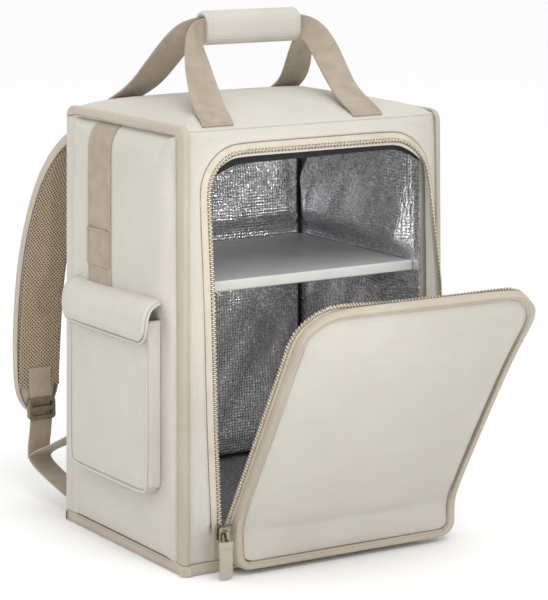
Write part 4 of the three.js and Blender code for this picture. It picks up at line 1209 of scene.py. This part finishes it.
def add_inside():
    lining = copy_of("lining", "foil_lining")
    gridded(lining, FILM_GRID, (0, 1, 2))
    low = Vector((-ROOM_HALF, -ROOM_HALF, ROOM_LOW))
    high = Vector((ROOM_HALF, ROOM_BACK, ROOM_HIGH))
    shelf_low, shelf_high = (corner.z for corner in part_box("shelf_board"))
    points = points_of(lining)
    for index, vertex in enumerate(lining.data.vertices):
        wide = 1 + (TOP_WIDE - 1) * vertex.co.z / HEIGHT
        deep = 1 + (TOP_DEEP - 1) * vertex.co.z / HEIGHT
        square = Vector((vertex.co.x / wide, vertex.co.y / deep, vertex.co.z))
        gaps = sorted((
            square.x - low.x, high.x - square.x, high.y - square.y, square.z - low.z, high.z - square.z,
        ))
        on_wall = abs(gaps[0]) < WALL_NEAR
        from_front = square.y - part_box("lining")[0].y
        clear = min(gaps[1], from_front, abs(square.z - shelf_low), abs(square.z - shelf_high))
        if on_wall and clear > FOLD_CLEAR and not shelf_low < square.z < shelf_high:
            share = min(1, (clear - FOLD_CLEAR) / FOLD_RISE)
            points[index] += np.array(vertex.normal) * foil_folds(vertex.co) * share
    set_points(lining, points)
    smooth_by_angle(lining)
    settle(lining, FOIL, ["lining"])
    for end in ("back", "front"):
        tape = copy_of(f"lining_tape_{end}", f"seam_tape_{end}")
        points = points_of(tape)
        square = squared(points)
        slim = square.copy()
        slim[:, 0] = np.sign(square[:, 0]) * np.maximum(np.abs(square[:, 0]), ROOM_HALF - TAPE_SLIM)
        slim[:, 2] = np.where(square[:, 2] < HEIGHT / 2, np.minimum(square[:, 2], ROOM_LOW + TAPE_SLIM),
                              np.maximum(square[:, 2], ROOM_HIGH - TAPE_SLIM))
        if end == "back":
            slim[:, 1] = np.maximum(square[:, 1], ROOM_BACK - TAPE_SLIM)
        near = np.abs(slim - square) < TAPE_SLIM + 0.001
        points += np.where(near, slim - square, 0)
        set_points(tape, points)
        if end == "front":
            keep_faces(tape, lambda middle, normal: middle.z > ROOM_LOW + FRONT_TAPE_LOW)
            edge = twin(tape, "foil_edge")

            def is_edge(middle, normal):
                return middle.x > ROOM_HALF - FOIL_EDGE_WIDE and middle.z < ROOM_HIGH - FOIL_EDGE_TOP

            keep_faces(edge, is_edge)
            keep_faces(tape, lambda middle, normal: not is_edge(middle, normal))
            closed(edge)
            closed(tape)
            smooth_by_angle(edge)
            settle(edge, FOIL, ["lining_tape_front"])
        bevelled(tape, 0.0002)
        smooth_by_angle(tape)
        settle(tape, TAPE, [f"lining_tape_{end}"])
    shelf = copy_of("shelf_board", "shelf")
    bevelled(shelf, 0.0012, 3)
    smooth_by_angle(shelf)
    settle(shelf, BOARD, ["shelf_board"])
    low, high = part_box("shelf_board")
    middle = ((low.x + high.x) / 2, low.y - TRIM_PROUD, (low.z + high.z) / 2)
    trim = block("shelf_trim", middle, (high.x - low.x, TRIM_THICK, high.z - low.z + TRIM_TALLER))
    gridded(trim, 0.02, (0,))
    bevelled(trim, 0.0014, 4)
    smooth_by_angle(trim)
    settle(trim, BOARD_TRIM)


def add_opening():
    """Under the zip along the top of the opening: a facing in cream painted paler as if lit, then the black
    lip over the film's edge.
    """
    band, lip = [], []
    for left, right, normal in rows_of("zip_chain_body", CHAIN_FACING):
        middle = left.lerp(right, 0.5)
        share = min(1, (middle.z - LIP_START) / LIP_RISE)
        if share <= 0.05:
            continue
        centre = Vector((max(-ARC_X, min(ARC_X, middle.x)), middle.y, ARC_Z))
        inward = (centre - middle).normalized()
        inner = min((left, right), key=lambda corner: (corner - centre).length)
        start = inner + FACING_BACK - inward * FACING_LAP
        turn = start + inward * (FACING_WIDE * share + FACING_LAP) + TURN_BACK
        wide = (LIP_WIDE - LIP_LEFT_MORE * middle.x / HALF_WIDTH) * share
        end = turn + inward * wide + LIP_BACK
        band.append((start, turn, Vector((0, -1, 0))))
        lip.append((turn - inward * FACING_LAP + LIP_BEHIND, end, Vector((0, -1, 0))))
    settle(strip("opening_facing", band, 0.0008, 2), PAINTED_LIT_CREAM)
    settle(strip("opening_lip", lip, 0.0008, 3), TAPE)


# Flap
def add_flap():
    edging = copy_of("flap_binding", "flap_edging")
    border = {}

    def share_at(point):
        """1 along the left and top edges, where the binding is slim, and 0 along the other two."""
        return clamped(min(FLAP_FULL_RIGHT - point.x, point.z - FLAP_FULL_LOW) / FLAP_EASE)

    def spread(panel):
        """Takes the panel further out and its rim back, so that a slim, thin binding shows round it."""
        moves = []
        outer = wall_against(panel, edging)
        inner = wall_against(edging, panel)
        rim = {index: way for index, way in front_ways(panel).items() if index in outer}
        for piece, ways, by in (
            (panel, outer, FLAP_SLIM), (panel, rim, -FLAP_SINK),
            (edging, inner, -FLAP_SLIM), (edging, front_ways(edging), -FLAP_SINK),
        ):
            for index, way in ways.items():
                vertex = piece.data.vertices[index]
                moves.append((vertex, way * by * share_at(vertex.co)))
        for vertex, move in moves:
            vertex.co += move
        for index in rim:
            border[index] = (panel.data.vertices[index].co.copy(), outer[index])

    padded("flap_cloth", "flap_panel", FLAP_FACE, (0, 2), pressure=3.0, cap=0.004, shape=spread)
    creased(edging, 40, 0.6)
    subdivide_smooth(edging, 2)
    settle(edging, EDGING, ["flap_binding"])
    places = [point + way * FLAP_SEAM_OUT for point, way in border.values()]
    centre = sum(places, Vector()) / len(places)
    uphill = FLAP_FACE.cross(Vector((1, 0, 0)))
    places.sort(key=lambda point: math.atan2((point - centre).dot(uphill), point.x - centre.x))
    line = laid_on(surface_of(edging), places + places[:1], -FLAP_FACE)
    stitches("flap_stitches", [line], BEIGE_THREAD_SHADED)
    hinge = copy_of("flap_hinge", "flap_hinge_cloth")
    bevelled(hinge, 0.0006)
    smooth_by_angle(hinge)
    settle(hinge, CREAM, ["flap_hinge"])


# Zip
def stretched(rows, guide, by):
    """Rows drawn out by a length on the side that lies away from a guide line."""
    result = []
    for left, right, normal in rows:
        near = min(guide, key=lambda place: (place[0] - left.lerp(right, 0.5)).length)[0]
        if (left - near).length > (right - near).length:
            left = left + (left - right).normalized() * by
        else:
            right = right + (right - left).normalized() * by
        result.append((left, right, normal))
    return result


def led_down(rows, surface):
    """The body's zip tape with its left end led down the front cloth to the base."""
    ordered = rows if rows[0][0].x < 0 else rows[::-1]
    left, right, normal = ordered[0]
    foot = []
    for step in range(TAPE_FOOT_ROWS, 0, -1):
        drop = Vector((0, 0, (TAPE_FOOT - left.z) * step / TAPE_FOOT_ROWS))
        landed = laid_on(surface, [left + drop, right + drop], (0, 1, 0))
        if not landed:
            continue
        out = sum((facing for place, facing in landed), Vector()).normalized()
        corners = []
        for corner in (left + drop, right + drop):
            place = min(landed, key=lambda found: (found[0] - corner).length)[0]
            across = corner.x + TAPE_LEAN * (place.y - left.y)
            corners.append(Vector((across, place.y, corner.z)) + out * TAPE_OFF)
        foot.append((*corners, out))
    return foot + ordered


def tucked(rows):
    """Rows of the flap's zip drawn in behind its top and right edges, where it doesn't show."""
    uphill = FLAP_FACE.cross(Vector((1, 0, 0)))
    heights = [mid(row).dot(uphill) for row in rows]
    result = []
    for row, height in zip(rows, heights):
        middle = mid(row)
        share = clamped((middle.x - ZIP_TUCK_FROM) / ZIP_TUCK_EASE)
        across = max(-ZIP_TUCK_X, min(ZIP_TUCK_X, middle.x)) - middle.x
        down = min(0, max(heights) - ZIP_TUCK_CORNER - height)
        inward = Vector((across, 0, 0)) + uphill * down
        if inward.length > 1e-6:
            inward.normalize()
        result.append(carried(row, (inward * ZIP_TUCK_IN - FLAP_FACE * ZIP_TUCK_BACK) * share))
    return result


def run_on(rows):
    """A zip's rows carried on past their left end, into the slider."""
    first = rows[0][0].x < rows[-1][0].x
    end, before = (rows[0], rows[1]) if first else (rows[-1], rows[-2])
    extra = carried(end, (mid(end) - mid(before)).normalized() * CHAIN_RUN_ON)
    return [extra, *rows] if first else [*rows, extra]


def add_zip():
    for part, facing in (("body", CHAIN_FACING), ("flap", FLAP_FACE)):
        chain = rows_of(f"zip_chain_{part}", facing)
        if part == "flap":
            chain = tucked(run_on(chain))
        line = line_along(chain, 0.5, -TOOTH_SINK)
        rows = rows_of(f"zip_tape_{part}", facing)
        if part == "flap":
            rows = tucked(run_on(stretched(rows, line, ZIP_TAPE_TUCK)))
        else:
            rows = led_down(rows, surface_of(bpy.data.objects["front_cloth"]))
        tape = strip(f"zip_tape_{part}_weave", rows, ZIP_TAPE_THICK, 3)
        settle(tape, ZIP_TAPE, [f"zip_tape_{part}"])
        # The cord sunk under the teeth: its dark colour is partly painted shade between them
        sunk = [carried(row, row[2] * -CORD_SINK) for row in chain]
        cord = strip(f"zip_cord_shaded_{part}", sunk, ZIP_TAPE_THICK, 2)
        settle(cord, ZIP_CORD_SHADED)
        frames = places_along(line, TOOTH_PITCH)
        for index, place in enumerate(frames):
            place.translation += place.col[1].to_3d() * TOOTH_STAGGER * (-1) ** index
        teeth = copies(f"zip_teeth_{part}", one_tooth(), frames)
        settle(teeth, BRASS, [f"zip_chain_{part}"])
    for node, name, body in (("zip_slider", "slider_body", BAG), ("pull_link", "pull_ring", ZIP_PULL)):
        piece = copy_of(node, name)
        bevelled(piece, 0.0005, 2, 30)
        smooth_by_angle(piece)
        settle(piece, GUNMETAL, [node], body)
    tab = copy_of("pull_tab", "pull_strap")
    low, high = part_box("pull_tab")
    middle, half = (low.x + high.x) / 2, (high.x - low.x) / 2
    points = points_of(tab)
    aside = points[:, 0] - middle
    neck = (points[:, 2] > high.z - TONGUE_TALL) & (np.abs(aside) < half - 0.001)
    points[neck, 0] = middle + np.sign(aside[neck]) * (half - 0.0006)
    set_points(tab, points)
    bevelled(tab, 0.0005, 2, 30)
    smooth_by_angle(tab)
    settle(tab, EDGING, ["pull_tab"], ZIP_PULL)
    place = (middle, (low.y + high.y) / 2, high.z - TONGUE_TALL / 2 - 0.0004)
    size = (high.x - low.x + 0.0004, high.y - low.y + 0.0010, TONGUE_TALL + 0.0006)
    fold = block("pull_fold", place, size)
    gridded(fold, 0.003, (0, 2))
    bevelled(fold, 0.0006, 3)
    smooth_by_angle(fold)
    settle(fold, EDGING, body=ZIP_PULL)


# Pocket
def rounded_foot(piece):
    """Rounds the pouch's two lower corners."""
    low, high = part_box("pocket_pouch")
    middle, half = (low.y + high.y) / 2, (high.y - low.y) / 2
    points = points_of(piece)
    past = (np.abs(points[:, 1] - middle) - half + POUCH_ROUND) / POUCH_ROUND
    under = (low.z + POUCH_ROUND - points[:, 2]) / POUCH_ROUND
    share = np.maximum(past, under) / np.maximum(np.hypot(past, under), 1e-9)
    corner = (past > 0) & (under > 0)
    pull = np.where(corner, share - 1, 0) * POUCH_ROUND
    points[:, 1] += np.sign(points[:, 1] - middle) * past * pull
    points[:, 2] -= under * pull
    set_points(piece, points)


def add_pocket():
    pouch = padded(
        "pocket_cloth", "pocket_pouch", (-1, 0, 0), (1, 2), pressure=1.5, cap=0.002,
        spacing=POUCH_GRID, margin=POUCH_MARGIN,
    )
    flap = copy_of("pocket_flap", "pocket_flap_cloth")
    gridded(flap, 0.010, (1,))
    swell_lightly(flap)
    subdivide_smooth(flap, 1)
    settle(flap, CREAM, ["pocket_flap"])
    for node, name in (("pocket_piping", "pocket_cord_edge"), ("pocket_flap_binding", "pocket_flap_edging")):
        piece = copy_of(node, name)
        subdivide_smooth(piece, 1)
        settle(piece, CREAM, [node])
        if name == "pocket_cord_edge":
            rounded_foot(piece)
    rounded_foot(pouch)
    low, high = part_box("pocket_flap")
    surface = surface_of(flap)
    near, far = low.y + FLAP_HEM, high.y - FLAP_HEM
    foot, crest = low.z + FLAP_HEM, high.z - FLAP_CREST
    lines = [laid_on(surface, straight((low.x, near, foot), (low.x, far, foot)), (1, 0, 0))]
    for end in (near, far):
        lines.append(laid_on(surface, straight((low.x, end, foot), (low.x, end, crest)), (1, 0, 0)))
    back = low.x + FLAP_BACK_HEM
    lines.append(laid_on(surface, straight((back, near, high.z), (back, far, high.z)), (0, 0, -1)))
    low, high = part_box("pocket_pouch")
    surface = surface_of(pouch)
    front, rear = low.y + POUCH_HEM_ENDS[0], high.y - POUCH_HEM_ENDS[1]
    for level in POUCH_HEMS:
        across = straight((low.x, front, low.z + level), (low.x, rear, low.z + level))
        lines.append(laid_on(surface, across, (1, 0, 0)))
    rear = high.y - POUCH_REAR_HEM
    upward = straight((low.x, rear, low.z + POUCH_REAR_LOW), (low.x, rear, POUCH_REAR_TOP))
    lines.append(laid_on(surface, upward, (1, 0, 0)))
    stitches("pocket_stitches", lines, CREAM_THREAD_SHADED)


# Side webbing
def add_side_webbing():
    rows = downward(rows_of("side_webbing", (-1, 0, 0)))
    rows.append(carried(rows[-1], Vector((0, 0, -WEBBING_LONGER))))
    rows.insert(0, carried(rows[0], Vector((0, 0, WEBBING_HIGHER))))
    panel = surface_of(bpy.data.objects["side_cloth_left"])
    followed = []
    for left, right, normal in finer(rows, 4):
        landed = [place - WEBBING_OFF for place, facing in laid_on(panel, [left, right], (1, 0, 0))]
        followed.append((*landed, normal))
    rows = eased(followed, 2)
    webbing = strip("side_strap", rows, 0.002, 6)
    settle(webbing, WEBBING, ["side_webbing"])
    top = rows[0][0].z
    patch_rows = []
    for step in range(PATCH_ROWS + 1):
        run = top - PATCH_HIGH + (PATCH_HIGH - PATCH_LOW) * step / PATCH_ROWS
        lift = PATCH_LIFT + PATCH_END_LIFT * (step in (0, PATCH_ROWS))
        (left, normal), (right, normal) = (place_on(rows, run, share, lift) for share in (0.02, 0.98))
        patch_rows.append((left, right, normal))
    patch = strip("side_strap_patch", patch_rows, 0.0016, 6)
    settle(patch, WEBBING, ["webbing_patch"])
    lines = sewn_box(patch_rows, PATCH_HIGH - PATCH_LOW - BOX_START, crossed=True)
    stitches("patch_stitches", lines, BEIGE_THREAD_SHADED)


# Carry handle
def hollowed(piece, side):
    """Opens one end of the grip: its cap is inset and pushed in."""
    reach = max(side * vertex.co.x for vertex in piece.data.vertices)
    edit(piece, "DESELECT")
    mesh = bmesh.from_edit_mesh(piece.data)
    for face in mesh.faces:
        face.select = side * face.normal.x > 0.9 and side * face.calc_center_median().x > reach - 0.001
    bmesh.update_edit_mesh(piece.data)
    bpy.ops.mesh.inset(thickness=GRIP_WALL, depth=0)
    bpy.ops.mesh.extrude_region_move(TRANSFORM_OT_translate={"value": (-side * GRIP_HOLLOW, 0, 0)})
    leave_edit()


def tautened(rows):
    """A handle's webbing with its two legs pulled nearly straight, from foot to grip."""
    result = list(rows)
    for order in (range(len(rows)), range(len(rows) - 1, -1, -1)):
        leg = []
        for index in order:
            leg.append(index)
            if mid(rows[index]).z > LEG_TOP:
                break
        middles = [mid(rows[index]) for index in leg]
        run = runs_of(middles)
        for index, middle, gone in zip(leg, middles, run):
            taut = middles[0].lerp(middles[-1], gone / run[-1])
            result[index] = carried(rows[index], (taut - middle) * LEG_TAUT)
    return result


def softened(share):
    """A share held between 0 and 1, with an easy start and end."""
    share = clamped(share)
    return share * share * (3 - 2 * share)


def drawn_in(rows, by):
    """A handle's webbing with its right leg drawn in, and its left foot a little out."""
    result = []
    for left, right, normal in rows:
        middle = left.lerp(right, 0.5)
        if middle.x > 0:
            share = softened((RIGHT_LEG_TOP - middle.z) / RIGHT_LEG_EASE)
            shift = Vector((-by * share, 0, 0))
            off_foot = clamped((middle.z - RIGHT_FOOT) / RIGHT_FOOT_EASE)
            slim = 1 - RIGHT_LEG_SLIM * share * off_foot * (by > 0)
        else:
            share = softened((LEG_TOP - middle.z) / LEFT_FOOT_EASE)
            shift = Vector((-LEFT_FOOT_OUT * share, 0, 0))
            slim = 1
        result.append((middle.lerp(left, slim) + shift, middle.lerp(right, slim) + shift, normal))
    return result


def footed(rows, surface):
    """A handle's webbing with both sewn ends drawn on towards the front seam, on the top cloth."""
    ends = []
    for row, inner in ((rows[0], rows[1]), (rows[-1], rows[-2])):
        way = mid(row) - mid(inner)
        way.z = 0
        longer = [corner + way.normalized() * FOOT_LONGER for corner in row[:2]]
        landed = [place + FOOT_LIFT for place, facing in laid_on(surface, longer, (0, 0, -1))]
        ends.append((*landed, row[2]))
    return [ends[0], *rows, ends[1]]


def add_handle():
    lines = []
    for end, facing in (("front", (0, -0.7, 0.7)), ("back", (0, 0.7, 0.7))):
        rows = eased(tautened(rows_of(f"handle_webbing_{end}", facing)), 8)
        rows = drawn_in(rows, RIGHT_LEG_IN[end])
        if end == "front":
            rows = footed(rows, surface_of(bpy.data.objects["top_cloth"]))
        webbing = strip(f"handle_strap_{end}", rows, 0.0025, 6, 2)
        settle(webbing, WEBBING, [f"handle_webbing_{end}"])
        for way in (rows, rows[::-1]):
            lines += sewn_box(way, BOX_LONG)
    wrap = copy_of("handle_wrap", "handle_grip")
    gridded(wrap, 0.006, (0,))
    for side in (-1, 1):
        hollowed(wrap, side)
    subdivide_smooth(wrap, 1)
    settle(wrap, CREAM, ["handle_wrap"])
    low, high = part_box("handle_wrap")
    middle = (low + high) / 2
    surface = surface_of(wrap)
    hems = []
    for level in (low.x + GRIP_HEM, high.x - GRIP_HEM):
        ring = []
        for step in range(GRIP_HEM_STEPS + 1):
            turn = 2 * math.pi * step / GRIP_HEM_STEPS
            out = Vector((0, math.cos(turn), math.sin(turn)))
            ring += laid_on(surface, [Vector((level, middle.y, middle.z)) + out * GRIP_CAST], -out)
        hems.append(ring)
    stitches("handle_stitches", lines, BEIGE_THREAD_SHADED)
    stitches("grip_stitches", hems, CREAM_THREAD_SHADED)


# Shoulder straps
def add_straps():
    for hand, side in HANDS:
        pad = copy_of(f"strap_pad_{hand}", f"shoulder_pad_{hand}")
        edit(pad)
        bpy.ops.mesh.subdivide(number_cuts=1)
        leave_edit()
        swell_lightly(pad)
        subdivide_smooth(pad, 1)
        settle(pad, EDGING, [f"strap_pad_{hand}"])
        rows = wider(rows_of(f"strap_mesh_{hand}", (0, -1, 0)), MESH_WIDER)
        mesh = strip(f"shoulder_mesh_{hand}", rows, 0.0015, 6)
        settle(mesh, MESH, [f"strap_mesh_{hand}"])
        lines = [line_along(rows, share, STITCH_LIFT) for share in (0.05, 0.95)]
        stitches(f"strap_stitches_{hand}", lines, BEIGE_THREAD_SHADED)
        edging = copy_of(f"strap_binding_{hand}", f"shoulder_edging_{hand}")
        subdivide_smooth(edging, 1)
        settle(edging, EDGING, [f"strap_binding_{hand}"])
        shapes = {}
        for part, facing in (("tab", (0, -1, 0)), ("webbing", (0, -1, 0)), ("anchor", (0, 0, 1))):
            shapes[part] = wider(rows_of(f"strap_{part}_{hand}", facing), STRAP_WIDER)
            webbing = strip(f"strap_{part}_weave_{hand}", shapes[part], 0.0018, 5, 2)
            settle(webbing, WEBBING, [f"strap_{part}_{hand}"])
        above, below = downward(shapes["tab"])[-1], downward(shapes["webbing"])[0]
        threaded = []
        for step in range(LADDER_ROWS + 1):
            part = step / LADDER_ROWS
            left, right, normal = (a.lerp(b, part) for a, b in zip(above, below))
            back = Vector((0, LADDER_BACK * math.sin(math.pi * part), 0))
            threaded.append((left + back, right + back, normal.normalized()))
        webbing = strip(f"strap_threaded_{hand}", threaded, 0.0018, 5)
        settle(webbing, WEBBING)
        buckle = copy_of(f"strap_buckle_{hand}", f"ladder_lock_{hand}")
        bevelled(buckle, 0.0010, 3, 30)
        smooth_by_angle(buckle)
        settle(buckle, PLASTIC, [f"strap_buckle_{hand}"])


add_camera()
add_studio()
add_body()
add_inside()
add_opening()
add_flap()
add_zip()
add_pocket()
add_side_webbing()
add_handle()
add_straps()
